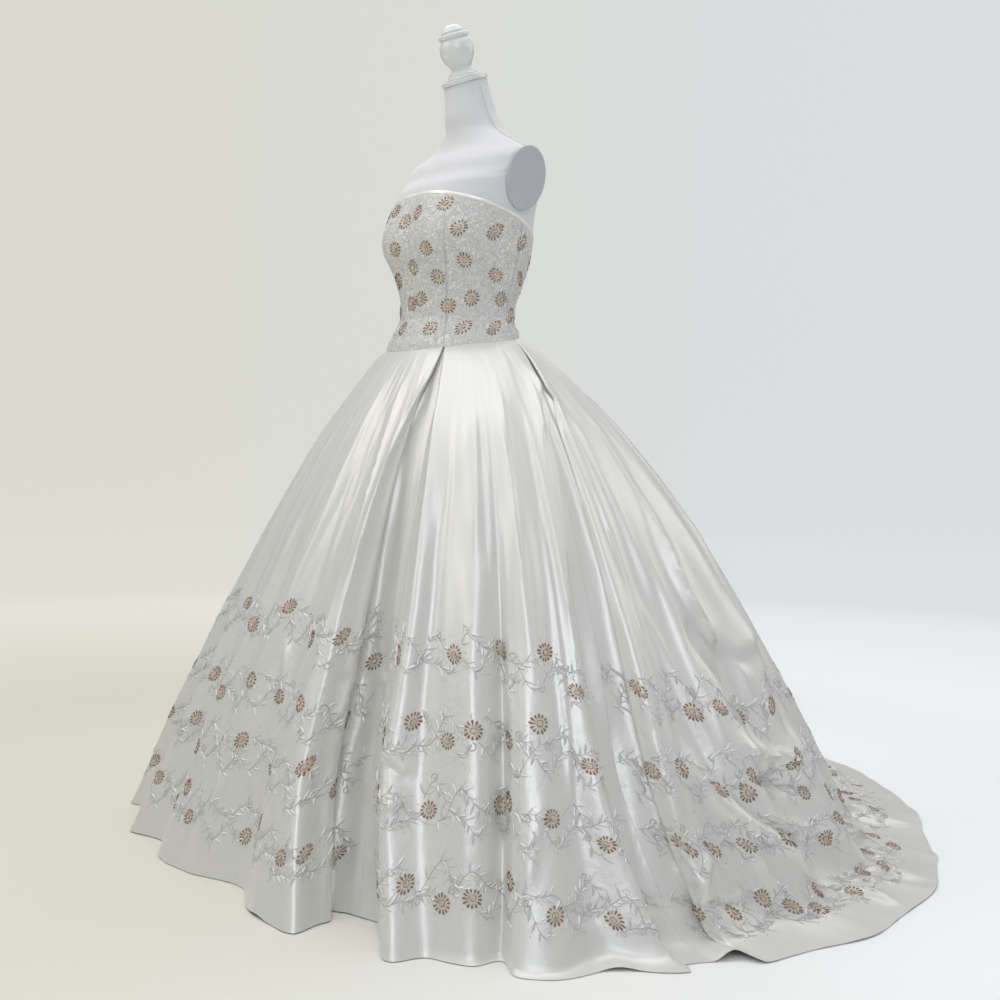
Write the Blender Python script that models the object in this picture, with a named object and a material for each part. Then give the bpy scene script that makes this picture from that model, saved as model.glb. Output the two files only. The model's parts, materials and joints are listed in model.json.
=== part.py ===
# A strapless satin ball gown with a train, worn by a limbless dress form on a round base.
# Metres, +Z up. The gown's front faces -Y, the wearer's left is +X and the train runs to +Y.
# The origin is on the floor, on the axis of the form's pole.
# An angle is taken about that axis from the front (0) toward the wearer's left (90) and the back (180).

import math

import bpy
import numpy as np

MM = 0.001
GAP = 0.3 * MM

# Cloth walls
BODICE_WALL = 2.0 * MM
SKIRT_WALL = 1.6 * MM
BINDING_WALL = 3.0 * MM
BINDING_HEIGHT = 8.0 * MM

# Where the waist seam and the neckline run
WAIST_FRONT_HEIGHT = 1.031
WAIST_BACK_RISE = 0.042
NECKLINE_FRONT_HEIGHT = 1.362
NECKLINE_BACK_DROP = 0.108
NECKLINE_DROP_POWER = 1.35

# Seams of the bodice and of the skirt, degrees from the front
PRINCESS_SEAM = 43.0
SIDE_SEAM = 104.0
BACK_SEAM = 157.0

# Bodice sections: height, half width, front depth, back depth, centre toward the back
BODICE_SECTIONS = (
    (1.015, 0.165, 0.129, 0.129, -0.012),
    (1.045, 0.160, 0.127, 0.127, -0.009),
    (1.070, 0.150, 0.126, 0.125, -0.001),
    (1.104, 0.135, 0.112, 0.112, 0.001),
    (1.135, 0.136, 0.114, 0.114, 0.004),
    (1.175, 0.146, 0.123, 0.124, 0.009),
    (1.210, 0.155, 0.127, 0.135, 0.009),
    (1.250, 0.162, 0.137, 0.138, 0.014),
    (1.285, 0.166, 0.138, 0.138, 0.018),
    (1.320, 0.171, 0.136, 0.134, 0.022),
    (1.375, 0.188, 0.131, 0.130, 0.029),
)
BUST_ANGLE = 36.0
BUST_SPREAD = 20.0
BUST_HEIGHT = 1.272
BUST_FALL_BELOW = 0.045
BUST_FALL_ABOVE = 0.055
BUST_RISE = 0.028

# Form sections under the skirt and above the bodice: centre height, half width, front depth,
# back depth, centre toward the back, forward tilt in degrees
FORM_LOWER_SECTIONS = (
    (0.800, 0.150, 0.110, 0.110, 0.000, 0.0),
    (0.820, 0.161, 0.120, 0.122, 0.000, 0.0),
    (0.880, 0.168, 0.124, 0.132, 0.002, 0.0),
    (0.950, 0.164, 0.122, 0.130, 0.000, 0.0),
    (1.000, 0.155, 0.118, 0.121, -0.006, 0.0),
)
FORM_UPPER_SECTIONS = (
    (1.400, 0.190, 0.112, 0.106, 0.035, 0.0),
    (1.425, 0.190, 0.105, 0.098, 0.040, 0.0),
    (1.445, 0.178, 0.088, 0.088, 0.043, 0.0),
    (1.458, 0.155, 0.072, 0.080, 0.046, 0.0),
    (1.470, 0.134, 0.064, 0.072, 0.047, 0.0),
    (1.482, 0.109, 0.060, 0.068, 0.047, 0.0),
    (1.494, 0.089, 0.057, 0.064, 0.045, 1.5),
    (1.510, 0.070, 0.056, 0.060, 0.043, 4.0),
    (1.540, 0.058, 0.055, 0.056, 0.033, 9.0),
    (1.575, 0.0515, 0.050, 0.050, 0.025, 14.5),
)
FORM_CLEARANCE = 1.3 * MM
BUST_EASE = 0.07
FORM_HIP_SETBACK = 8.5 * MM
HIP_SETBACK_TOP = 1.095
HIP_SETBACK_BOTTOM = 1.062

# Shoulder plates, neck plate and finial
SHOULDER_PLATE_CENTRE = (0.174, 0.041, 1.386)
SHOULDER_PLATE_TILT = 3.5
SHOULDER_PLATE_HALF_WIDTH = 0.050
SHOULDER_PLATE_HALF_HEIGHT = 0.068
SHOULDER_PLATE_LEAN = 17.0
SHOULDER_PLATE_THICKNESS = 4.0 * MM
NECK_PLATE_CENTRE = (0.0, 0.0155, 1.614)
NECK_PLATE_TILT = 19.6
NECK_PLATE_RADIUS = 0.051
NECK_PLATE_THICKNESS = 9.0 * MM
NECK_TOP_RADIUS = 0.047

# Finial outline: radius, height above the neck plate
FINIAL_OUTLINE = (
    (0.0375, 0.0000),
    (0.0375, 0.0032),
    (0.0340, 0.0054),
    (0.0335, 0.0086),
    (0.0300, 0.0109),
    (0.0285, 0.0145),
    (0.0235, 0.0181),
    (0.0218, 0.0222),
    (0.0250, 0.0281),
    (0.0312, 0.0380),
    (0.0358, 0.0498),
    (0.0374, 0.0602),
    (0.0358, 0.0706),
    (0.0315, 0.0792),
    (0.0292, 0.0824),
    (0.0322, 0.0851),
    (0.0330, 0.0891),
    (0.0310, 0.0932),
    (0.0240, 0.0946),
    (0.0243, 0.0982),
    (0.0215, 0.1023),
    (0.0170, 0.1077),
    (0.0095, 0.1118),
)

# Pole and base
POLE_RADIUS = 0.0125
POLE_COLLAR_RADIUS = 0.030
POLE_COLLAR_HEIGHT = 0.030
BASE_RADIUS = 0.150
BASE_RIM_HEIGHT = 0.008
BASE_BOSS_RADIUS = 0.034
BASE_BOSS_HEIGHT = 0.024

# Skirt outline on the floor: angle, distance of the hem, distance where the cloth meets the floor
SKIRT_FLOOR = (
    (0.0, 0.600, 0.600),
    (20.0, 0.625, 0.625),
    (40.0, 0.690, 0.690),
    (60.0, 0.775, 0.765),
    (80.0, 0.860, 0.810),
    (100.0, 0.930, 0.840),
    (120.0, 0.985, 0.860),
    (140.0, 1.030, 0.875),
    (160.0, 1.125, 0.905),
    (180.0, 1.230, 0.930),
)
BELLY_FRONT = 0.075
BELLY_BACK = 0.065
FLOOR_BEND = 0.12
TRAIN_START_LENGTH = 0.15

# The skirt's sections from the waist (0) to the hem (1), the rows of its solids
SKIRT_ROWS = (0.0, 0.022, 0.05, 0.078, 0.108, 0.142, 0.185, 0.25, 0.345, 0.47, 0.60, 0.71, 0.80, 0.88, 0.94, 1.0)
# Where the tables of folds state a value: waist, hip, knee, shin and hem
STATIONS = (0.0, 0.20, 0.45, 0.72, 1.0)

# How an inverted pleat opens, at each station: how far its lip stands out from the edge, how deep
# that lip lies, how far the cloth tucks back under it, and the depth of the pleat's centre, in mm
PLEAT_LIP = (0.0, 12.0, 26.0, 32.0, 26.0)
PLEAT_DROP = (3.0, 12.0, 30.0, 44.0, 55.0)
PLEAT_TUCK = (23.0, 7.0, 8.0, 12.0, 26.0)
PLEAT_CENTRE = (6.0, 26.0, 64.0, 92.0, 95.0)
PLEAT_ROUNDING = (1.5, 5.0, 9.0, 12.0, 14.0)
CLOSED_PLEAT_HALF_WIDTH = 1.4 * MM

# Inverted pleats: seam at the waist, centre at hip, knee, shin and hem (degrees), opening before and
# after the centre at the same stations (degrees), share of the depth, rise of the edges at the hem (mm)
PLEATS = (
    ("right_back", -157.0, (-151.0, -147.0, -144.0, -144.0), (6.0, 7.0, 7.0, 6.0), (6.0, 6.0, 6.0, 6.0), 0.75, 10, 10),
    ("right_side", -104.0, (-92.0, -87.0, -83.5, -83.0), (5.0, 6.0, 5.5, 4.5), (5.0, 6.0, 5.0, 4.5), 0.42, 8, 8),
    ("right_princess", -43.0, (-45.0, -44.0, -43.0, -43.0), (5.0, 7.0, 8.0, 8.0), (6.0, 8.0, 9.0, 8.0), 0.90, 25, 20),
    ("left_princess", 43.0, (36.5, 34.5, 34.0, 36.0), (9.0, 11.0, 11.0, 6.5), (7.0, 8.5, 7.0, 8.0), 1.15, 34, 40),
    ("left_side", 104.0, (85.5, 81.5, 79.5, 83.0), (4.5, 5.0, 4.5, 4.0), (3.5, 4.5, 4.5, 4.0), 0.38, 8, 8),
    ("left_back", 157.0, (149.0, 143.0, 140.0, 140.0), (6.0, 7.0, 7.0, 6.0), (6.0, 7.0, 7.0, 6.0), 0.75, 12, 10),
)

# Soft rolls and hollows between the pleats: angle at the five stations, then how far the cloth
# stands out (+) or in (-) at hip, knee, shin and hem, in mm
ROLLS = (
    ("back hollow", (180.0, 180.0, 180.0, 180.0, 180.0), (-2, -8, -18, 0)),
    ("back left roll", (168.0, 167.0, 165.0, 164.0, 164.0), (4, 12, 20, 14)),
    ("right rear roll", (-145.0, -137.0, -133.0, -131.0, -132.0), (3, 10, 18, 16)),
    ("right rear hollow", (-134.0, -126.0, -121.0, -118.0, -119.0), (-3, -14, -26, -6)),
    ("right hip roll", (-124.0, -116.0, -110.0, -107.0, -107.0), (5, 14, 20, 18)),
    ("right hip hollow", (-114.0, -105.0, -99.0, -96.0, -97.0), (-1, -6, -14, -2)),
    ("right side hollow", (-92.0, -79.0, -73.0, -71.0, -71.0), (-3, -12, -24, -30)),
    ("right side roll", (-80.0, -71.0, -66.0, -63.0, -62.0), (3, 10, 16, 26)),
    ("right thigh hollow", (-67.0, -62.0, -58.0, -56.0, -56.0), (-2, -8, -14, -20)),
    ("front right hollow", (-33.0, -32.0, -29.0, -28.0, -28.0), (0, -4, -14, -30)),
    ("front right roll", (-22.0, -21.0, -19.0, -18.0, -18.0), (2, 2, 4, 4)),
    ("front roll", (-4.0, -3.0, -4.0, -5.0, -7.0), (4, 8, 6, -6)),
    ("front hollow", (10.0, 8.0, 6.0, 7.0, 8.0), (-2, -8, -24, -50)),
    ("front left roll", (24.0, 17.0, 14.0, 14.0, 17.0), (1, 2, 4, 6)),
    ("left thigh hollow", (52.0, 51.0, 49.0, 48.0, 49.5), (-2, -10, -14, -2)),
    ("left thigh roll", (60.0, 58.0, 57.5, 56.5, 55.0), (4, 10, 12, 4)),
    ("left lap hollow", (67.0, 64.0, 62.5, 61.0, 59.0), (-2, -14, -26, -30)),
    ("left lap edge", (70.0, 66.5, 64.0, 62.0, 60.0), (0, 6, 18, 32)),
    ("left lap roll", (76.0, 71.0, 68.0, 66.0, 65.0), (4, 12, 20, 30)),
    ("left side hollow", (88.0, 76.5, 72.0, 70.0, 71.0), (-3, -10, -14, -12)),
    ("left hip hollow", (112.0, 95.0, 93.0, 92.0, 95.0), (-3, -12, -20, -10)),
    ("left hip roll", (119.0, 103.0, 101.0, 100.0, 103.0), (6, 16, 26, 24)),
    ("left rear hollow", (127.0, 113.0, 109.0, 108.0, 112.0), (-2, -16, -30, -10)),
    ("left rear roll", (136.0, 122.0, 118.0, 117.0, 121.0), (8, 18, 26, 22)),
    ("left train hollow", (146.0, 132.0, 127.0, 125.0, 129.0), (-2, -10, -20, -6)),
    ("back right roll", (-168.0, -167.0, -165.0, -164.0, -164.0), (4, 12, 20, 16)),
)
COLUMN_SPACING = 0.095
WAIST_COLUMN_STEP = 9.0
FLOOR_LUMP_SHARE = 0.30
FLOOR_LUMP_BASE = 0.055
FLOOR_CLEARANCE = 1.4 * MM
# Near the waist, folds are laid in square to the cloth, and farther down straight outward
NORMAL_OFFSET_SHARE = 0.35
PROFILE_STEP = 0.002
MITRE_LIMIT = 1.6

# Colours of the photograph, linear
SATIN = (0.74, 0.72, 0.66)
EMBROIDERED_NET = (0.66, 0.62, 0.55)
BINDING = (0.80, 0.78, 0.73)
JERSEY = (0.68, 0.67, 0.66)
WHITE_PAINT = (0.82, 0.82, 0.80)
SHOULDER_GREY = (0.42, 0.43, 0.45)
POLE_METAL = (0.62, 0.62, 0.62)
BASE_PAINT = (0.70, 0.70, 0.69)

BODICE_ROWS = 13
FORM_RINGS_IN_BODICE = (1.03, 1.055, 1.075, 1.09, 1.105, 1.12, 1.14, 1.165, 1.19, 1.215, 1.24, 1.26, 1.28, 1.30,
                        1.325, 1.35, 1.375)
BODICE_STEP = 8.0
FORM_COLUMNS = 36
ROUND_STEPS = 24


def smooth_step(value):
    """0 below 0, 1 above 1, and a soft rise between."""
    value = np.clip(value, 0.0, 1.0)
    return value * value * (3.0 - 2.0 * value)


def curve_through(knots, values, at, level_ends=False):
    """Smooth curve through a table's values, which never overshoots them."""
    knots = np.asarray(knots, float)
    values = np.asarray(values, float)
    steps = np.diff(knots)
    slopes = np.diff(values) / steps
    tangents = np.zeros_like(values)
    if not level_ends:
        tangents[0], tangents[-1] = slopes[0], slopes[-1]
    before, after = slopes[:-1], slopes[1:]
    same_way = before * after > 0
    weight_a = 2.0 * steps[1:] + steps[:-1]
    weight_b = steps[1:] + 2.0 * steps[:-1]
    safe_before = np.where(same_way, before, 1.0)
    safe_after = np.where(same_way, after, 1.0)
    mean = (weight_a + weight_b) / (weight_a / safe_before + weight_b / safe_after)
    tangents[1:-1] = np.where(same_way, mean, 0.0)
    at = np.clip(np.asarray(at, float), knots[0], knots[-1])
    cell = np.clip(np.searchsorted(knots, at, side="right") - 1, 0, len(steps) - 1)
    width = steps[cell]
    t = (at - knots[cell]) / width
    rise = values[cell] * (1 + 2 * t) * (1 - t) ** 2 + values[cell + 1] * t * t * (3 - 2 * t)
    return rise + width * (tangents[cell] * t * (1 - t) ** 2 - tangents[cell + 1] * t * t * (1 - t))


def column(table, index):
    return [row[index] for row in table]


def direction(angle):
    """Unit vector on the floor at an angle in radians from the front."""
    return np.sin(angle), -np.cos(angle)


def ring_reach(angle, half_width, front, back, centre):
    """Distance from the pole axis to an oval section, in a given direction."""
    side, ahead = direction(angle)
    reaches = []
    for depth in (front, back):
        a = (side / half_width) ** 2 + (ahead / depth) ** 2
        b = -2.0 * ahead * centre / depth**2
        c = (centre / depth) ** 2 - 1.0
        reaches.append((-b + np.sqrt(b * b - 4.0 * a * c)) / (2.0 * a))
    in_front = reaches[0] * ahead < centre
    return np.where(in_front, reaches[0], reaches[1])


def bust(angle, height):
    """How far the two soft mounds of the bust stand out."""
    degrees = np.degrees(np.abs((angle + np.pi) % (2 * np.pi) - np.pi))
    across = np.exp(-0.5 * ((degrees - BUST_ANGLE) / BUST_SPREAD) ** 2)
    fall = np.where(height < BUST_HEIGHT, BUST_FALL_BELOW, BUST_FALL_ABOVE)
    return BUST_RISE * across * np.exp(-0.5 * ((height - BUST_HEIGHT) / fall) ** 2)


def bodice_reach(angle, height):
    """Distance from the axis to the bodice's outer face."""
    heights = column(BODICE_SECTIONS, 0)
    sizes = [curve_through(heights, column(BODICE_SECTIONS, i), height) for i in range(1, 5)]
    return ring_reach(angle, *sizes) + bust(angle, height)


def waist_height(angle):
    return WAIST_FRONT_HEIGHT + WAIST_BACK_RISE * np.sin(angle / 2) ** 2


def neckline_height(angle):
    return NECKLINE_FRONT_HEIGHT - NECKLINE_BACK_DROP * (np.sin(angle / 2) ** 2) ** NECKLINE_DROP_POWER


def floor_reach(angle, index):
    """Distance of the hem or of the floor contact, the same on both sides of the gown."""
    degrees = np.degrees(np.abs((angle + np.pi) % (2 * np.pi) - np.pi))
    knots = column(SKIRT_FLOOR, 0)
    return curve_through(knots, column(SKIRT_FLOOR, index), degrees, level_ends=True)


def bell(angle, share):
    """Distance, height and floor share of the smooth bell, before its folds are laid in."""
    top = waist_height(angle)
    waist = bodice_reach(angle, top) - SKIRT_WALL / 2
    hem = floor_reach(angle, 1)
    contact = floor_reach(angle, 2)
    slope_length = np.hypot(contact - waist, top)
    floor_length = hem - contact
    along = share * (slope_length + floor_length)
    fall = along / slope_length
    belly = BELLY_FRONT + BELLY_BACK * np.sin(angle / 2) ** 2
    power = 0.62 + 0.13 * np.sin(angle / 2) ** 2
    bulge = belly * np.sin(np.pi * np.clip(fall, 0, 1) ** power)
    reach = waist + (contact - waist) * (np.minimum(fall, 1.0) + bulge)
    reach = reach + np.maximum(along - slope_length, 0.0)
    straight = top * (1.0 - fall)
    bend = np.minimum(FLOOR_BEND, 0.9 * floor_length * top / slope_length) + 1e-6
    rounded = (straight + bend) ** 2 / (4.0 * bend)
    height = np.where(straight > bend, straight, np.where(straight < -bend, 0.0, rounded))
    on_floor = smooth_step((bend - straight) / (2.0 * bend)) * smooth_step(floor_length / TRAIN_START_LENGTH)
    return reach, height, on_floor


def at_stations(values):
    return curve_through(STATIONS, values, SKIRT_ROWS)


def pleat_lines(pleat):
    """The thirteen lines of one inverted pleat, as angle and depth for each row of the skirt."""
    _, seam, centres, before, after, depth_share, rise_before, rise_after = pleat
    centre = np.radians(at_stations((seam, *centres)))
    rows = np.asarray(SKIRT_ROWS)
    open_share = smooth_step(rows / STATIONS[1])
    depth_scale = 1.0 + (depth_share - 1.0) * open_share
    reach, _, on_floor = bell(centre, rows)
    lip = at_stations(PLEAT_LIP) * MM * depth_scale
    drop = at_stations(PLEAT_DROP) * MM * depth_scale
    # Cloth that lies on the floor has no tuck under the lip, so its pleat is a plain hollow there
    flat_share = smooth_step(on_floor * 1.5)
    tuck = at_stations(PLEAT_TUCK) * MM * depth_scale * (1.0 - flat_share) - 0.5 * lip * flat_share
    deep = at_stations(PLEAT_CENTRE) * MM * depth_scale
    rounding = at_stations(PLEAT_ROUNDING) * MM
    lines = []
    for side, openings, rise_at_hem in ((-1, before, rise_before), (1, after, rise_after)):
        closed = np.degrees(CLOSED_PLEAT_HALF_WIDTH / reach[0])
        width = np.radians(at_stations((closed, *openings))) * reach
        rise = rise_at_hem * MM * rows**1.5
        shut = 1.0 - open_share
        across_and_out = (
            (width + rounding, rise),
            (width, rise - drop * (0.5 * shut + 0.08 * open_share)),
            (width - 0.55 * lip * open_share + rounding * shut, -drop * (shut + 0.5 * open_share)),
            (width - lip * open_share + (tuck - rounding) * shut, -drop),
            (width - lip * open_share + tuck, -1.5 * drop * shut - (0.4 * drop + 0.6 * deep) * open_share),
            (0.5 * width * open_share + (width + tuck - rounding) * shut, -2.0 * drop * shut - deep * open_share),
        )
        half = [(centre + side * across / reach, out) for across, out in across_and_out]
        lines.append(half if side < 0 else half[::-1])
    middle = (centre, -2.0 * drop * (1.0 - open_share) - deep * open_share)
    return lines[0] + [middle] + lines[1]


def skirt_lines():
    """Every named fold line round the skirt in order, and which of them are seams."""
    groups = []
    for name, angles, outs in ROLLS:
        groups.append((angles[0], [(np.radians(at_stations(angles)), at_stations((0.0, *outs)) * MM)], False))
    for pleat in PLEATS:
        groups.append((pleat[1], pleat_lines(pleat), True))
    groups.sort(key=lambda group: group[0])
    lines, seams = [], []
    for _, members, is_pleat in groups:
        if is_pleat:
            seams.append(len(lines) + len(members) // 2)
        lines.extend(members)
    return lines, seams


def blend_between(points, knots, at):
    """Point on the smooth curve through four neighbouring fold lines, for every row at once."""
    p0, p1, p2, p3 = points
    t0, t1, t2, t3 = knots
    t = (t1 + (t2 - t1) * at)[..., None]
    t0, t1, t2, t3 = (knot[..., None] for knot in (t0, t1, t2, t3))
    a1 = ((t1 - t) * p0 + (t - t0) * p1) / (t1 - t0)
    a2 = ((t2 - t) * p1 + (t - t1) * p2) / (t2 - t1)
    a3 = ((t3 - t) * p2 + (t - t2) * p3) / (t3 - t2)
    b1 = ((t2 - t) * a1 + (t - t0) * a2) / (t2 - t0)
    b2 = ((t3 - t) * a2 + (t - t1) * a3) / (t3 - t1)
    return ((t2 - t) * b1 + (t - t1) * b2) / (t2 - t1)


def skirt_columns():
    """Angle and depth of every column of the skirt, with soft cloth between the fold lines."""
    lines, seams = skirt_lines()
    count = len(lines)
    rows = np.asarray(SKIRT_ROWS)
    angles = np.array([line[0] for line in lines])
    outs = np.array([line[1] for line in lines])
    reach = np.array([bell(angle, rows)[0] for angle in angles])

    def line_at(index):
        turns, index = divmod(index, count)
        return np.stack([angles[index] + 2 * np.pi * turns, outs[index]], -1)

    columns, seam_columns = [], []
    for index in range(count):
        points = [line_at(index + step) for step in (-1, 0, 1, 2)]
        metres = [np.hypot((b - a)[:, 0] * reach[index], (b - a)[:, 1]) for a, b in zip(points, points[1:])]
        knots = [np.zeros(len(rows))]
        for gap in metres:
            knots.append(knots[-1] + np.sqrt(np.maximum(gap, 1e-5)))
        waist_gap = math.degrees(abs(points[2][0, 0] - points[1][0, 0]))
        parts = max(1, round(float(metres[1].max()) / COLUMN_SPACING), math.ceil(waist_gap / WAIST_COLUMN_STEP))
        if index in seams:
            seam_columns.append(len(columns))
        for part in range(parts):
            columns.append(blend_between(points, knots, np.full(len(rows), part / parts)))
    columns = np.array(columns)
    # At the waist seam no cloth stands out past the bodice
    columns[:, 0, 1] = np.minimum(columns[:, 0, 1], 0.0)
    return columns, seam_columns


def lay_in_space(columns):
    """Centre face of the cloth, from each column's angles and depths."""
    rows = np.asarray(SKIRT_ROWS)[None, :]
    angle, out = columns[..., 0], columns[..., 1]
    reach, height, on_floor = bell(angle, rows)
    ahead_reach, ahead_height, _ = bell(angle, rows + PROFILE_STEP)
    run, fall = ahead_reach - reach, height - ahead_height
    steep = 1.0 - smooth_step(rows / NORMAL_OFFSET_SHARE)
    length = np.hypot(run, fall)
    depth = out * (1.0 - 0.75 * on_floor)
    reach = reach + depth * (steep * fall / length + 1.0 - steep)
    lump = np.maximum(out + FLOOR_LUMP_BASE, 0.0) * FLOOR_LUMP_SHARE * smooth_step((1.02 - rows) / 0.10)
    height = height + depth * steep * run / length + on_floor * lump + FLOOR_CLEARANCE * smooth_step(rows * 4.0)
    side, ahead = direction(angle)
    return np.stack([reach * side, reach * ahead, height], -1)


def unit(vectors):
    return vectors / np.maximum(np.linalg.norm(vectors, axis=-1, keepdims=True), 1e-12)


def wall_offsets(points):
    """Outward offset for half a wall at each point of the closed skirt grid, mitred at its corners."""
    down = unit(np.gradient(points, axis=1))

    def square_to_fall(edges):
        return unit(edges - np.sum(edges * down, -1, keepdims=True) * down)

    to_next = square_to_fall(np.roll(points, -1, 0) - points)
    from_last = square_to_fall(points - np.roll(points, 1, 0))
    normals = unit(np.cross(down, to_next + from_last))
    edge_normals = unit(np.cross(down, to_next))
    mitre = np.clip(np.sum(normals * edge_normals, -1, keepdims=True), 1.0 / MITRE_LIMIT, 1.0)
    offsets = normals * SKIRT_WALL / 2 / mitre
    # The waist edge is cut level, so that it meets the bodice edge to edge
    offsets[:, 0, 2] = 0.0
    return offsets


def new_material(name, colour, roughness, metallic=0.0):
    material = bpy.data.materials.new(name)
    material.use_nodes = True
    shader = next(node for node in material.node_tree.nodes if node.type == "BSDF_PRINCIPLED")
    shader.inputs["Base Color"].default_value = (*colour, 1.0)
    shader.inputs["Roughness"].default_value = roughness
    shader.inputs["Metallic"].default_value = metallic
    material.diffuse_color = (*colour, 1.0)
    return material


def add_object(name, vertices, faces, material):
    mesh = bpy.data.meshes.new(name)
    mesh.from_pydata([tuple(map(float, vertex)) for vertex in vertices], [], faces)
    mesh.materials.append(material)
    mesh.update()
    mesh.shade_smooth()
    mesh.set_sharp_from_angle(angle=math.radians(40))
    made = bpy.data.objects.new(name, mesh)
    bpy.context.scene.collection.objects.link(made)
    return made


def wall_between(name, outer, inner, material):
    """Closed wall from two grids of points of the same size, with a rim all round."""
    across, down = outer.shape[:2]
    vertices = np.concatenate([outer.reshape(-1, 3), inner.reshape(-1, 3)])
    offset = across * down

    def at(i, j):
        return i * down + j

    faces = []
    for i in range(across - 1):
        for j in range(down - 1):
            a, b, c, d = at(i, j), at(i, j + 1), at(i + 1, j + 1), at(i + 1, j)
            # Both faces are cut along the same diagonal, so that the wall keeps its thickness where it twists
            for triangle in ((a, b, c), (a, c, d)):
                faces.append(triangle)
                faces.append(tuple(offset + corner for corner in reversed(triangle)))
    for i in range(across - 1):
        for j, flip in ((0, False), (down - 1, True)):
            rim = (at(i, j), at(i + 1, j), offset + at(i + 1, j), offset + at(i, j))
            faces.append(rim[::-1] if flip else rim)
    for j in range(down - 1):
        for i, flip in ((0, True), (across - 1, False)):
            rim = (at(i, j), at(i, j + 1), offset + at(i, j + 1), offset + at(i, j))
            faces.append(rim[::-1] if flip else rim)
    return add_object(name, vertices, faces, material)


def loft(name, rings, material):
    """Closed solid through rings of points, capped at both ends."""
    around = len(rings[0])
    vertices = [point for ring in rings for point in ring]
    faces = []
    for level in range(len(rings) - 1):
        for i in range(around):
            j = (i + 1) % around
            low, high = level * around, (level + 1) * around
            faces.append((low + i, low + j, high + j, high + i))
    faces.append(tuple(reversed(range(around))))
    last = (len(rings) - 1) * around
    faces.append(tuple(last + i for i in range(around)))
    return add_object(name, vertices, faces, material)


def circle_ring(radius, height, steps=ROUND_STEPS):
    return [(radius * math.sin(t), -radius * math.cos(t), height) for t in np.arange(steps) * 2 * math.pi / steps]


def build_skirt(material):
    """The skirt's seven panels, seamed at the hidden centres of its inverted pleats."""
    columns, seams = skirt_columns()
    middle = lay_in_space(columns)
    offsets = wall_offsets(middle)
    around = np.roll(middle, -1, 0) - np.roll(middle, 1, 0)
    around /= np.linalg.norm(around, axis=-1, keepdims=True)
    back = int(np.argmin(np.abs(np.mod(columns[:, 0, 0], 2 * np.pi) - np.pi)))
    cuts = sorted([*seams, back])
    names = {}
    total = len(middle)
    labels = ("skirt_back_right", "skirt_side_back_right", "skirt_side_right", "skirt_front",
              "skirt_side_left", "skirt_side_back_left", "skirt_back_left")
    start = cuts.index(back)
    order = cuts[start:] + cuts[:start]
    for label, first, last in zip(labels, order, order[1:] + order[:1]):
        steps = (last - first) % total
        indices = [(first + step) % total for step in range(steps + 1)]
        points = middle[indices].copy()
        points[0] += around[first] * GAP / 2
        points[-1] -= around[last] * GAP / 2
        half = offsets[indices]
        names[label] = wall_between(label, points + half, points - half, material)
    return names


def panel_angles(first, last):
    """Angles across a bodice panel, with half a seam gap left at each side."""
    steps = max(2, math.ceil((last - first) / BODICE_STEP))
    angles = np.radians(np.linspace(first, last, steps + 1))
    half_gap = GAP / 2 / 0.14
    angles[0] += half_gap
    angles[-1] -= half_gap
    return angles


def bodice_faces(angles, low, high, rows, wall):
    """Outer and inner grids of a piece that follows the bodice between two heights."""
    share = np.linspace(1.0, 0.0, rows)[None, :]
    angle = np.broadcast_to(angles[:, None], (len(angles), rows))
    height = low(angles)[:, None] * (1 - share) + high(angles)[:, None] * share
    side, ahead = direction(angle)
    grids = []
    for depth in wall:
        reach = bodice_reach(angle, height) - depth
        grids.append(np.stack([reach * side, reach * ahead, height], -1))
    return grids


def build_bodice(material, binding_material):
    """Seven bodice panels, seamed over the bust, at the sides and behind, and the bound neckline."""
    panels = (
        ("bodice_front", -PRINCESS_SEAM, PRINCESS_SEAM),
        ("bodice_side_front_left", PRINCESS_SEAM, SIDE_SEAM),
        ("bodice_side_back_left", SIDE_SEAM, BACK_SEAM),
        ("bodice_back_left", BACK_SEAM, 180.0),
        ("bodice_back_right", -180.0, -BACK_SEAM),
        ("bodice_side_back_right", -BACK_SEAM, -SIDE_SEAM),
        ("bodice_side_front_right", -SIDE_SEAM, -PRINCESS_SEAM),
    )

    def bottom(angles):
        return waist_height(angles) + GAP

    def top(angles):
        return neckline_height(angles) - GAP - BINDING_HEIGHT

    for name, first, last in panels:
        outer, inner = bodice_faces(panel_angles(first, last), bottom, top, BODICE_ROWS, (0.0, BODICE_WALL))
        wall_between(name, outer, inner, material)

    def binding_bottom(angles):
        return neckline_height(angles) - BINDING_HEIGHT

    proud = (BINDING_WALL - BODICE_WALL) / 2
    outer, inner = bodice_faces(panel_angles(-180.0, 180.0), binding_bottom, neckline_height, 3,
                                (-proud, BODICE_WALL + proud - 0.2 * MM))
    wall_between("neckline_binding", outer, inner, binding_material)


def shoulder_plane(height):
    """Half width of the form where its arms are cut off, a little narrower below."""
    return SHOULDER_PLATE_CENTRE[0] + math.tan(math.radians(SHOULDER_PLATE_TILT)) * (height - SHOULDER_PLATE_CENTRE[2])


def cut_at_shoulders(ring):
    """The same ring, flattened where the shoulder plates sit."""
    return [(max(-shoulder_plane(z), min(shoulder_plane(z), x)), y, z) for x, y, z in ring]


def form_ring(centre_height, half_width, front, back, centre, tilt):
    """One oval ring of the form."""
    ring = []
    lean = math.radians(tilt)
    for t in np.arange(FORM_COLUMNS) * 2 * math.pi / FORM_COLUMNS:
        along = -math.cos(t) * (front if math.cos(t) > 0 else back)
        ring.append((half_width * math.sin(t), centre + along * math.cos(lean), centre_height + along * math.sin(lean)))
    return cut_at_shoulders(ring)


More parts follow.
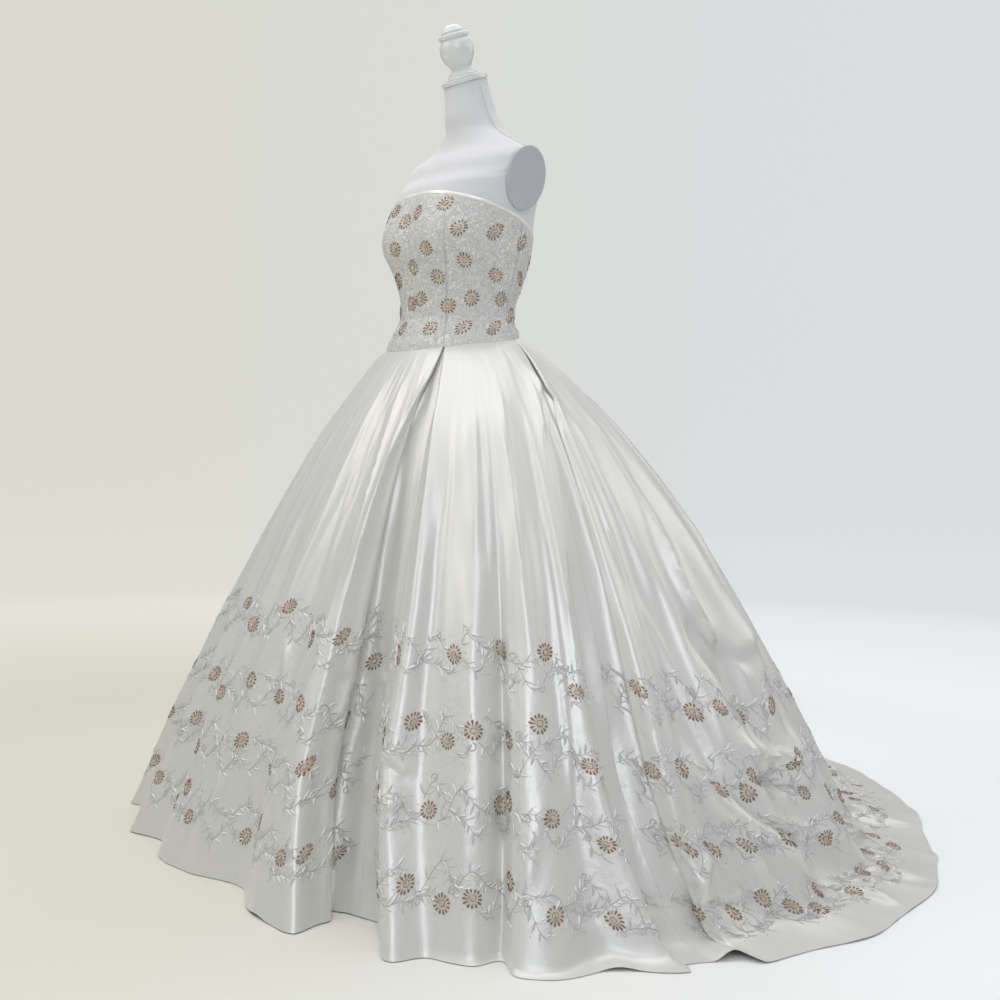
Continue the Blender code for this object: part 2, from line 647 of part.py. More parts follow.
def form_under_bodice(height):
    """Ring of the form inside the bodice, narrower at the hip where the pleats are sewn in."""
    angles = np.arange(FORM_COLUMNS) * 2 * math.pi / FORM_COLUMNS
    setback = FORM_HIP_SETBACK * smooth_step((HIP_SETBACK_TOP - height) / (HIP_SETBACK_TOP - HIP_SETBACK_BOTTOM))
    setback = setback + BUST_EASE * bust(angles, height)
    reach = bodice_reach(angles, np.full(FORM_COLUMNS, height)) - BODICE_WALL - FORM_CLEARANCE - setback
    side, ahead = direction(angles)
    return cut_at_shoulders([(x, y, height) for x, y in zip(reach * side, reach * ahead)])


def tilted(point, about, tilt):
    """Local point turned forward by the neck's tilt and moved to its place."""
    lean = math.radians(tilt)
    x, y, z = point
    return (about[0] + x, about[1] + y * math.cos(lean) - z * math.sin(lean),
            about[2] + y * math.sin(lean) + z * math.cos(lean))


def build_form(jersey, paint, grey, metal, base_paint):
    """Torso with neck and shoulder stumps, its plates, finial, pole and round base."""
    rings = [form_ring(*row) for row in FORM_LOWER_SECTIONS]
    rings += [form_under_bodice(height) for height in FORM_RINGS_IN_BODICE]
    rings += [form_ring(*row) for row in FORM_UPPER_SECTIONS]
    under_plate = (0.0, 0.0, -NECK_PLATE_THICKNESS / 2 - GAP)
    top = tilted(under_plate, NECK_PLATE_CENTRE, NECK_PLATE_TILT)
    rings.append(form_ring(top[2], NECK_TOP_RADIUS, NECK_TOP_RADIUS, NECK_TOP_RADIUS, top[1], NECK_PLATE_TILT))
    loft("form_torso", rings, jersey)

    for name, side in (("form_shoulder_plate_left", 1), ("form_shoulder_plate_right", -1)):
        lean = math.radians(SHOULDER_PLATE_LEAN)
        plate_rings = []
        for inset, depth in ((0.0, 0.0), (0.0, 0.6), (0.03, 1.0)):
            ring = []
            for t in np.arange(ROUND_STEPS) * 2 * math.pi / ROUND_STEPS:
                y = SHOULDER_PLATE_HALF_WIDTH * (1 - inset) * math.cos(t)
                z = SHOULDER_PLATE_HALF_HEIGHT * (1 - inset) * math.sin(t)
                height = SHOULDER_PLATE_CENTRE[2] - y * math.sin(lean) + z * math.cos(lean)
                ring.append((side * (shoulder_plane(height) + GAP + depth * SHOULDER_PLATE_THICKNESS),
                             SHOULDER_PLATE_CENTRE[1] + y * math.cos(lean) + z * math.sin(lean), height))
            plate_rings.append(ring if side > 0 else ring[::-1])
        loft(name, plate_rings, grey)

    half = NECK_PLATE_THICKNESS / 2
    bevel = 0.8 * MM
    plate = ((NECK_PLATE_RADIUS - bevel, -half), (NECK_PLATE_RADIUS, bevel - half),
             (NECK_PLATE_RADIUS, half - bevel), (NECK_PLATE_RADIUS - bevel, half))
    loft("form_neck_plate", [[tilted(p, NECK_PLATE_CENTRE, NECK_PLATE_TILT) for p in circle_ring(r, h)]
                             for r, h in plate], paint)
    lift = half + GAP
    loft("form_finial", [[tilted(p, NECK_PLATE_CENTRE, NECK_PLATE_TILT) for p in circle_ring(r, h + lift, 16)]
                         for r, h in FINIAL_OUTLINE], paint)

    base = ((BASE_RADIUS - 0.002, 0.0), (BASE_RADIUS, 0.002), (BASE_RADIUS, BASE_RIM_HEIGHT - 0.003),
            (BASE_RADIUS - 0.004, BASE_RIM_HEIGHT), (BASE_BOSS_RADIUS + 0.03, BASE_RIM_HEIGHT + 0.006),
            (BASE_BOSS_RADIUS, BASE_BOSS_HEIGHT - 0.004), (BASE_BOSS_RADIUS - 0.005, BASE_BOSS_HEIGHT))
    loft("form_base", [circle_ring(r, h, 32) for r, h in base], base_paint)
    torso_bottom = FORM_LOWER_SECTIONS[0][0] - GAP
    pole = ((POLE_RADIUS, BASE_BOSS_HEIGHT + GAP), (POLE_RADIUS, torso_bottom - POLE_COLLAR_HEIGHT),
            (POLE_COLLAR_RADIUS, torso_bottom - POLE_COLLAR_HEIGHT / 2), (POLE_COLLAR_RADIUS, torso_bottom))
    loft("form_pole", [circle_ring(r, h, 12) for r, h in pole], metal)


def main():
    for item in list(bpy.data.objects):
        bpy.data.objects.remove(item)
    satin = new_material("ivory_satin", SATIN, 0.38)
    net = new_material("embroidered_net", EMBROIDERED_NET, 0.62)
    binding = new_material("satin_binding", BINDING, 0.42)
    jersey = new_material("white_jersey", JERSEY, 0.85)
    paint = new_material("white_gloss_paint", WHITE_PAINT, 0.25)
    grey = new_material("grey_shoulder_plate", SHOULDER_GREY, 0.55)
    metal = new_material("brushed_pole", POLE_METAL, 0.35, 1.0)
    base_paint = new_material("painted_base", BASE_PAINT, 0.4)
    build_bodice(net, binding)
    build_skirt(satin)
    build_form(jersey, paint, grey, metal, base_paint)


main()
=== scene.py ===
# %% [markdown]
# # A satin ball gown on its dress form
# The gown is strapless, with an embroidered bodice, a full skirt with inverted pleats and a train.
# It stands on a limbless dress form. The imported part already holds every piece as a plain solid.
# This lesson gives each of them the form, cloth, embroidery and paint that the camera sees.
# Everything is in metres, +Z is up, the gown's front faces -Y and the train runs to +Y.

import json
import math

import bmesh
import bpy
import numpy as np
from mathutils import Matrix, Vector

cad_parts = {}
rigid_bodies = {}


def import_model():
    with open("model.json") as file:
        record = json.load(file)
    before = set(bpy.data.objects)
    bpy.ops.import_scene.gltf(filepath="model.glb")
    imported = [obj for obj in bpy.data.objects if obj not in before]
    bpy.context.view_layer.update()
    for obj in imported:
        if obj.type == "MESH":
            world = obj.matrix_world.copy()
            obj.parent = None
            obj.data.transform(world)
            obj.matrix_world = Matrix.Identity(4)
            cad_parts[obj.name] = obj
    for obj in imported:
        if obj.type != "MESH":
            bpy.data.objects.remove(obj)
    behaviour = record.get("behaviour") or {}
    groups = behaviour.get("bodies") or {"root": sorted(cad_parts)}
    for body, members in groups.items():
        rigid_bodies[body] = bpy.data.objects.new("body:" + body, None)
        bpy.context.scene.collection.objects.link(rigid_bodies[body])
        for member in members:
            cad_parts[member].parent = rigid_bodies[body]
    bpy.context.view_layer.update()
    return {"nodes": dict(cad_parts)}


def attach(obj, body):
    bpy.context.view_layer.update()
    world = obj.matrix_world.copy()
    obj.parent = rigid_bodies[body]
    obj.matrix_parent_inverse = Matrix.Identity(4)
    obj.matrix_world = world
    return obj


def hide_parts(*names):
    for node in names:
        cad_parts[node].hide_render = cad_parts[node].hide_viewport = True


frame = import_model()
print("packed nodes:", len(frame["nodes"]))

# %% [markdown]
# ## The camera
# A camera comes first, because every later choice is judged through it.
# It stands at hip height, nearly three metres away, and looks down by two degrees.
# The lens shift puts the form's pole left of the middle without turning the camera.

# %% Place the camera
IMAGE_WIDTH = 1000
FOCAL_PIXELS = 1318.0
CAMERA_DISTANCE = 2.84
CAMERA_HEIGHT = 0.836
CAMERA_AZIMUTH = math.radians(52.3)
CAMERA_PITCH = math.radians(2.37)
CAMERA_ROLL = math.radians(0.68)
PRINCIPAL_X = 454.0

camera_data = bpy.data.cameras.new("camera")
camera_data.sensor_width = 36.0
camera_data.lens = camera_data.sensor_width * FOCAL_PIXELS / IMAGE_WIDTH
camera_data.shift_x = (IMAGE_WIDTH / 2 - PRINCIPAL_X) / IMAGE_WIDTH
camera = bpy.data.objects.new("camera", camera_data)
bpy.context.scene.collection.objects.link(camera)
camera.matrix_world = (
    Matrix.Translation((CAMERA_DISTANCE * math.sin(CAMERA_AZIMUTH),
                        -CAMERA_DISTANCE * math.cos(CAMERA_AZIMUTH), CAMERA_HEIGHT))
    @ Matrix.Rotation(CAMERA_AZIMUTH, 4, "Z")
    @ Matrix.Rotation(math.pi / 2 - CAMERA_PITCH, 4, "X")
    @ Matrix.Rotation(CAMERA_ROLL, 4, "Z")
)
bpy.context.scene.camera = camera
print("lens %.1f mm" % camera_data.lens)

# %% [markdown]
# ## Curves that a pattern cutter would use
# A garment is a set of smooth curves: round the body, down a seam, along a hem.
# The first helper draws a curve through a short table of sizes without overshooting them.
# An angle is taken about the form's pole, from the front (0) toward the wearer's left (90).

# %% Curves through short tables
MM = 0.001


def smooth_step(value):
    """0 below 0, 1 above 1, and a soft rise between."""
    value = np.clip(value, 0.0, 1.0)
    return value * value * (3.0 - 2.0 * value)


def curve_through(knots, values, at, level_ends=False):
    """Smooth curve through a table's values, which never overshoots them."""
    knots = np.asarray(knots, float)
    values = np.asarray(values, float)
    steps = np.diff(knots)
    slopes = np.diff(values) / steps
    tangents = np.zeros_like(values)
    if not level_ends:
        tangents[0], tangents[-1] = slopes[0], slopes[-1]
    before, after = slopes[:-1], slopes[1:]
    same_way = before * after > 0
    weight_a = 2.0 * steps[1:] + steps[:-1]
    weight_b = steps[1:] + 2.0 * steps[:-1]
    safe_before = np.where(same_way, before, 1.0)
    safe_after = np.where(same_way, after, 1.0)
    mean = (weight_a + weight_b) / (weight_a / safe_before + weight_b / safe_after)
    tangents[1:-1] = np.where(same_way, mean, 0.0)
    at = np.clip(np.asarray(at, float), knots[0], knots[-1])
    cell = np.clip(np.searchsorted(knots, at, side="right") - 1, 0, len(steps) - 1)
    width = steps[cell]
    t = (at - knots[cell]) / width
    rise = values[cell] * (1 + 2 * t) * (1 - t) ** 2 + values[cell + 1] * t * t * (3 - 2 * t)
    return rise + width * (tangents[cell] * t * (1 - t) ** 2 - tangents[cell + 1] * t * t * (1 - t))


def column(table, index):
    return [row[index] for row in table]


def direction(angle):
    """Unit vector on the floor at an angle in radians from the front."""
    return np.sin(angle), -np.cos(angle)


def degrees_aside(angle):
    """Degrees from the front to an angle, the same toward either side."""
    return np.degrees(np.abs((angle + np.pi) % (2 * np.pi) - np.pi))


def unit(vectors):
    return vectors / np.maximum(np.linalg.norm(vectors, axis=-1, keepdims=True), 1e-12)


# %% [markdown]
# ## The shape of the bodice
# A boned bodice is almost a solid of ovals: each height has a half width and two depths.
# The bust is two soft mounds added to the ovals. The same function later fits the binding and
# the form inside, so that no layer can cut through the next.

# %% Bodice sizes
WAIST_FRONT_HEIGHT = 1.031
WAIST_BACK_RISE = 0.042
NECKLINE_FRONT_HEIGHT = 1.362
NECKLINE_BACK_DROP = 0.108
NECKLINE_DROP_POWER = 1.35
PRINCESS_SEAM = 43.0
SIDE_SEAM = 104.0
BACK_SEAM = 157.0
# Height, half width, front depth, back depth, centre toward the back
BODICE_SECTIONS = (
    (1.015, 0.165, 0.129, 0.129, -0.012),
    (1.045, 0.16, 0.127, 0.127, -0.009),
    (1.07, 0.15, 0.126, 0.125, -0.001),
    (1.104, 0.135, 0.112, 0.112, 0.001),
    (1.135, 0.136, 0.114, 0.114, 0.004),
    (1.175, 0.146, 0.123, 0.124, 0.009),
    (1.21, 0.155, 0.127, 0.135, 0.009),
    (1.25, 0.162, 0.137, 0.138, 0.014),
    (1.285, 0.166, 0.138, 0.138, 0.018),
    (1.32, 0.171, 0.136, 0.134, 0.022),
    (1.375, 0.188, 0.131, 0.13, 0.029),
)
BUST_ANGLE = 36.0
BUST_SPREAD = 20.0
BUST_HEIGHT = 1.272
BUST_FALL_BELOW = 0.045
BUST_FALL_ABOVE = 0.055
BUST_RISE = 0.028


def ring_reach(angle, half_width, front, back, centre):
    """Distance from the pole axis to an oval section, in a given direction."""
    side, ahead = direction(angle)
    reaches = []
    for depth in (front, back):
        a = (side / half_width) ** 2 + (ahead / depth) ** 2
        b = -2.0 * ahead * centre / depth**2
        c = (centre / depth) ** 2 - 1.0
        reaches.append((-b + np.sqrt(b * b - 4.0 * a * c)) / (2.0 * a))
    in_front = reaches[0] * ahead < centre
    return np.where(in_front, reaches[0], reaches[1])


def bust(angle, height):
    """How far the two soft mounds of the bust stand out."""
    across = np.exp(-0.5 * ((degrees_aside(angle) - BUST_ANGLE) / BUST_SPREAD) ** 2)
    fall = np.where(height < BUST_HEIGHT, BUST_FALL_BELOW, BUST_FALL_ABOVE)
    return BUST_RISE * across * np.exp(-0.5 * ((height - BUST_HEIGHT) / fall) ** 2)


def bodice_reach(angle, height):
    """Distance from the axis to the bodice's outer face."""
    heights = column(BODICE_SECTIONS, 0)
    sizes = [curve_through(heights, column(BODICE_SECTIONS, i), height) for i in range(1, 5)]
    return ring_reach(angle, *sizes) + bust(angle, height)


def waist_height(angle):
    return WAIST_FRONT_HEIGHT + WAIST_BACK_RISE * np.sin(angle / 2) ** 2


def neckline_height(angle):
    return NECKLINE_FRONT_HEIGHT - NECKLINE_BACK_DROP * (np.sin(angle / 2) ** 2) ** NECKLINE_DROP_POWER


front_reach, side_reach = bodice_reach(np.radians([0.0, 90.0]), np.array([1.104, 1.104]))
print("waist: %.0f mm in front of the pole, %.0f mm beside it" % (front_reach / MM, side_reach / MM))

# %% [markdown]
# ## The skirt as a bell
# Before its folds, the skirt is a bell: from the waist it swells out, reaches the floor, and at
# the back it bends and runs on along the floor as the train. One function gives that bell for any
# direction and any share of the way from waist to hem.

# %% The bell
SATIN_WALL = 0.9 * MM
SOLID_WALL = 1.6 * MM
# Angle, distance of the hem, distance where the cloth meets the floor
SKIRT_FLOOR = (
    (0, 0.6, 0.6),
    (20, 0.625, 0.625),
    (40, 0.69, 0.69),
    (60, 0.775, 0.765),
    (80, 0.86, 0.81),
    (100, 0.93, 0.84),
    (120, 0.985, 0.86),
    (140, 1.03, 0.875),
    (160, 1.125, 0.905),
    (180, 1.23, 0.93),
)
BELLY_FRONT = 0.075
BELLY_BACK = 0.065
BELLY_POWER_FRONT = 0.62
BELLY_POWER_BACK = 0.13
FLOOR_BEND = 0.12
TRAIN_START_LENGTH = 0.15


def floor_reach(angle, index):
    """Distance of the hem or of the floor contact, the same on both sides of the gown."""
    return curve_through(column(SKIRT_FLOOR, 0), column(SKIRT_FLOOR, index), degrees_aside(angle), level_ends=True)


def bell(angle, share):
    """Distance, height and floor share of the smooth bell, before its folds are laid in."""
    top = waist_height(angle)
    waist = bodice_reach(angle, top) - SOLID_WALL / 2
    hem = floor_reach(angle, 1)
    contact = floor_reach(angle, 2)
    slope_length = np.hypot(contact - waist, top)
    floor_length = hem - contact
    along = share * (slope_length + floor_length)
    fall = along / slope_length
    toward_back = np.sin(angle / 2) ** 2
    belly = BELLY_FRONT + BELLY_BACK * toward_back
    power = BELLY_POWER_FRONT + BELLY_POWER_BACK * toward_back
    bulge = belly * np.sin(np.pi * np.clip(fall, 0, 1) ** power)
    reach = waist + (contact - waist) * (np.minimum(fall, 1.0) + bulge)
    reach = reach + np.maximum(along - slope_length, 0.0)
    straight = top * (1.0 - fall)
    bend = np.minimum(FLOOR_BEND, 0.9 * floor_length * top / slope_length) + 1e-6
    rounded = (straight + bend) ** 2 / (4.0 * bend)
    height = np.where(straight > bend, straight, np.where(straight < -bend, 0.0, rounded))
    on_floor = smooth_step((bend - straight) / (2.0 * bend)) * smooth_step(floor_length / TRAIN_START_LENGTH)
    return reach, height, on_floor


# %% [markdown]
# ## Inverted pleats and soft rolls
# The skirt's fullness is sewn into six inverted pleats at the waist. Each opens toward the hem
# into a trough with two lips. Between them the satin stands in soft rolls.
# Both are drawn as fold lines: an angle and a depth at the waist, hip, knee, shin and hem.

# %% Fold lines
SKIRT_ROWS = np.linspace(0.0, 1.0, 116)
STATIONS = (0.0, 0.20, 0.45, 0.72, 1.0)
# In mm: how far a lip stands out, how deep it lies, how far it tucks back, the pleat's depth
PLEAT_LIP = (0.0, 12.0, 26.0, 32.0, 26.0)
PLEAT_DROP = (3.0, 12.0, 30.0, 44.0, 55.0)
PLEAT_TUCK = (23.0, 7.0, 8.0, 12.0, 26.0)
PLEAT_CENTRE = (6.0, 26.0, 64.0, 92.0, 95.0)
PLEAT_ROUNDING = (1.5, 5.0, 9.0, 12.0, 14.0)
CLOSED_PLEAT_HALF_WIDTH = 1.4 * MM
# Seam at the waist, centre at hip, knee, shin and hem, opening before it and after it, share of
# the depth, rise of the two edges at the hem in mm
PLEATS = (
    ("right_back", -157, (-151, -147, -144, -144), (6, 7, 7, 6), (6, 6, 6, 6), 0.75, 10, 10),
    ("right_side", -104, (-92, -87, -83.5, -83), (5, 6, 5.5, 4.5), (5, 6, 5, 4.5), 0.42, 8, 8),
    ("right_princess", -43, (-45, -44, -43, -43), (5, 7, 8, 8), (6, 8, 9, 8), 0.9, 25, 20),
    ("left_princess", 43, (36.5, 34.5, 34, 36), (9, 11, 11, 6.5), (7, 8.5, 7, 8), 1.15, 34, 40),
    ("left_side", 104, (85.5, 81.5, 79.5, 83), (4.5, 5, 4.5, 4), (3.5, 4.5, 4.5, 4), 0.38, 8, 8),
    ("left_back", 157, (149, 143, 140, 140), (6, 7, 7, 6), (6, 7, 7, 6), 0.75, 12, 10),
)
# Angle at the five stations, then how far the cloth stands out (+) or in (-) below the waist, mm
ROLLS = (
    ("back hollow", (180, 180, 180, 180, 180), (-2, -8, -18, 0)),
    ("back left roll", (168, 167, 165, 164, 164), (4, 12, 20, 14)),
    ("right rear roll", (-145, -137, -133, -131, -132), (3, 10, 18, 16)),
    ("right rear hollow", (-134, -126, -121, -118, -119), (-3, -14, -26, -6)),
    ("right hip roll", (-124, -116, -110, -107, -107), (5, 14, 20, 18)),
    ("right hip hollow", (-114, -105, -99, -96, -97), (-1, -6, -14, -2)),
    ("right side hollow", (-92, -79, -73, -71, -71), (-3, -12, -24, -30)),
    ("right side roll", (-80, -71, -66, -63, -62), (3, 10, 16, 26)),
    ("right thigh hollow", (-67, -62, -58, -56, -56), (-2, -8, -14, -20)),
    ("front right hollow", (-33, -32, -29, -28, -28), (0, -4, -14, -30)),
    ("front right roll", (-22, -21, -19, -18, -18), (2, 2, 4, 4)),
    ("front roll", (-4, -3, -4, -5, -7), (4, 8, 6, -6)),
    ("front hollow", (10, 8, 6, 7, 8), (-2, -8, -24, -50)),
    ("front left roll", (24, 17, 14, 14, 17), (1, 2, 4, 6)),
    ("left thigh hollow", (52, 51, 49, 48, 49.5), (-2, -10, -14, -2)),
    ("left thigh roll", (60, 58, 57.5, 56.5, 55), (4, 10, 12, 4)),
    ("left lap hollow", (67, 64, 62.5, 61, 59), (-2, -14, -26, -30)),
    ("left lap edge", (70, 66.5, 64, 62, 60), (0, 6, 18, 32)),
    ("left lap roll", (76, 71, 68, 66, 65), (4, 12, 20, 30)),
    ("left side hollow", (88, 76.5, 72, 70, 71), (-3, -10, -14, -12)),
    ("left hip hollow", (112, 95, 93, 92, 95), (-3, -12, -20, -10)),
    ("left hip roll", (119, 103, 101, 100, 103), (6, 16, 26, 24)),
    ("left rear hollow", (127, 113, 109, 108, 112), (-2, -16, -30, -10)),
    ("left rear roll", (136, 122, 118, 117, 121), (8, 18, 26, 22)),
    ("left train hollow", (146, 132, 127, 125, 129), (-2, -10, -20, -6)),
    ("back right roll", (-168, -167, -165, -164, -164), (4, 12, 20, 16)),
)


def at_stations(values):
    return curve_through(STATIONS, values, SKIRT_ROWS)


def pleat_lines(pleat):
    """The thirteen lines of one inverted pleat, as angle and depth for each row of the skirt."""
    _, seam, centres, before, after, depth_share, rise_before, rise_after = pleat
    centre = np.radians(at_stations((seam, *centres)))
    rows = SKIRT_ROWS
    open_share = smooth_step(rows / STATIONS[1])
    depth_scale = 1.0 + (depth_share - 1.0) * open_share
    reach, _, on_floor = bell(centre, rows)
    lip = at_stations(PLEAT_LIP) * MM * depth_scale
    drop = at_stations(PLEAT_DROP) * MM * depth_scale
    # Cloth that lies on the floor has no tuck under the lip, so its pleat is a plain hollow there
    flat_share = smooth_step(on_floor * 1.5)
    tuck = at_stations(PLEAT_TUCK) * MM * depth_scale * (1.0 - flat_share) - 0.5 * lip * flat_share
    deep = at_stations(PLEAT_CENTRE) * MM * depth_scale
    rounding = at_stations(PLEAT_ROUNDING) * MM
    lines = []
    for side, openings, rise_at_hem in ((-1, before, rise_before), (1, after, rise_after)):
        closed = np.degrees(CLOSED_PLEAT_HALF_WIDTH / reach[0])
        width = np.radians(at_stations((closed, *openings))) * reach
        rise = rise_at_hem * MM * rows**1.5
        shut = 1.0 - open_share
        across_and_out = (
            (width + rounding, rise),
            (width, rise - drop * (0.5 * shut + 0.08 * open_share)),
            (width - 0.55 * lip * open_share + rounding * shut, -drop * (shut + 0.5 * open_share)),
            (width - lip * open_share + (tuck - rounding) * shut, -drop),
            (width - lip * open_share + tuck, -1.5 * drop * shut - (0.4 * drop + 0.6 * deep) * open_share),
            (0.5 * width * open_share + (width + tuck - rounding) * shut, -2.0 * drop * shut - deep * open_share),
        )
        half = [(centre + side * across / reach, out) for across, out in across_and_out]
        lines.append(half if side < 0 else half[::-1])
    middle = (centre, -2.0 * drop * (1.0 - open_share) - deep * open_share)
    return lines[0] + [middle] + lines[1]


def skirt_lines():
    """Every named fold line round the skirt in order, and which of them are seams."""
    groups = []
    for _, angles, outs in ROLLS:
        groups.append((angles[0], [(np.radians(at_stations(angles)), at_stations((0.0, *outs)) * MM)], False))
    for pleat in PLEATS:
        groups.append((pleat[1], pleat_lines(pleat), True))
    groups.sort(key=lambda group: group[0])
    lines, seams = [], []
    for _, members, is_pleat in groups:
        if is_pleat:
            seams.append(len(lines) + len(members) // 2)
        lines.extend(members)
    return lines, seams


def blend_between(points, knots, at):
    """Point on the smooth curve through four neighbouring fold lines, for every row at once."""
    p0, p1, p2, p3 = points
    t0, t1, t2, t3 = knots
    t = (t1 + (t2 - t1) * at)[..., None]
    t0, t1, t2, t3 = (knot[..., None] for knot in (t0, t1, t2, t3))
    a1 = ((t1 - t) * p0 + (t - t0) * p1) / (t1 - t0)
    a2 = ((t2 - t) * p1 + (t - t1) * p2) / (t2 - t1)
    a3 = ((t3 - t) * p2 + (t - t2) * p3) / (t3 - t2)
    b1 = ((t2 - t) * a1 + (t - t0) * a2) / (t2 - t0)
    b2 = ((t3 - t) * a2 + (t - t1) * a3) / (t3 - t1)
    return ((t2 - t) * b1 + (t - t1) * b2) / (t2 - t1)
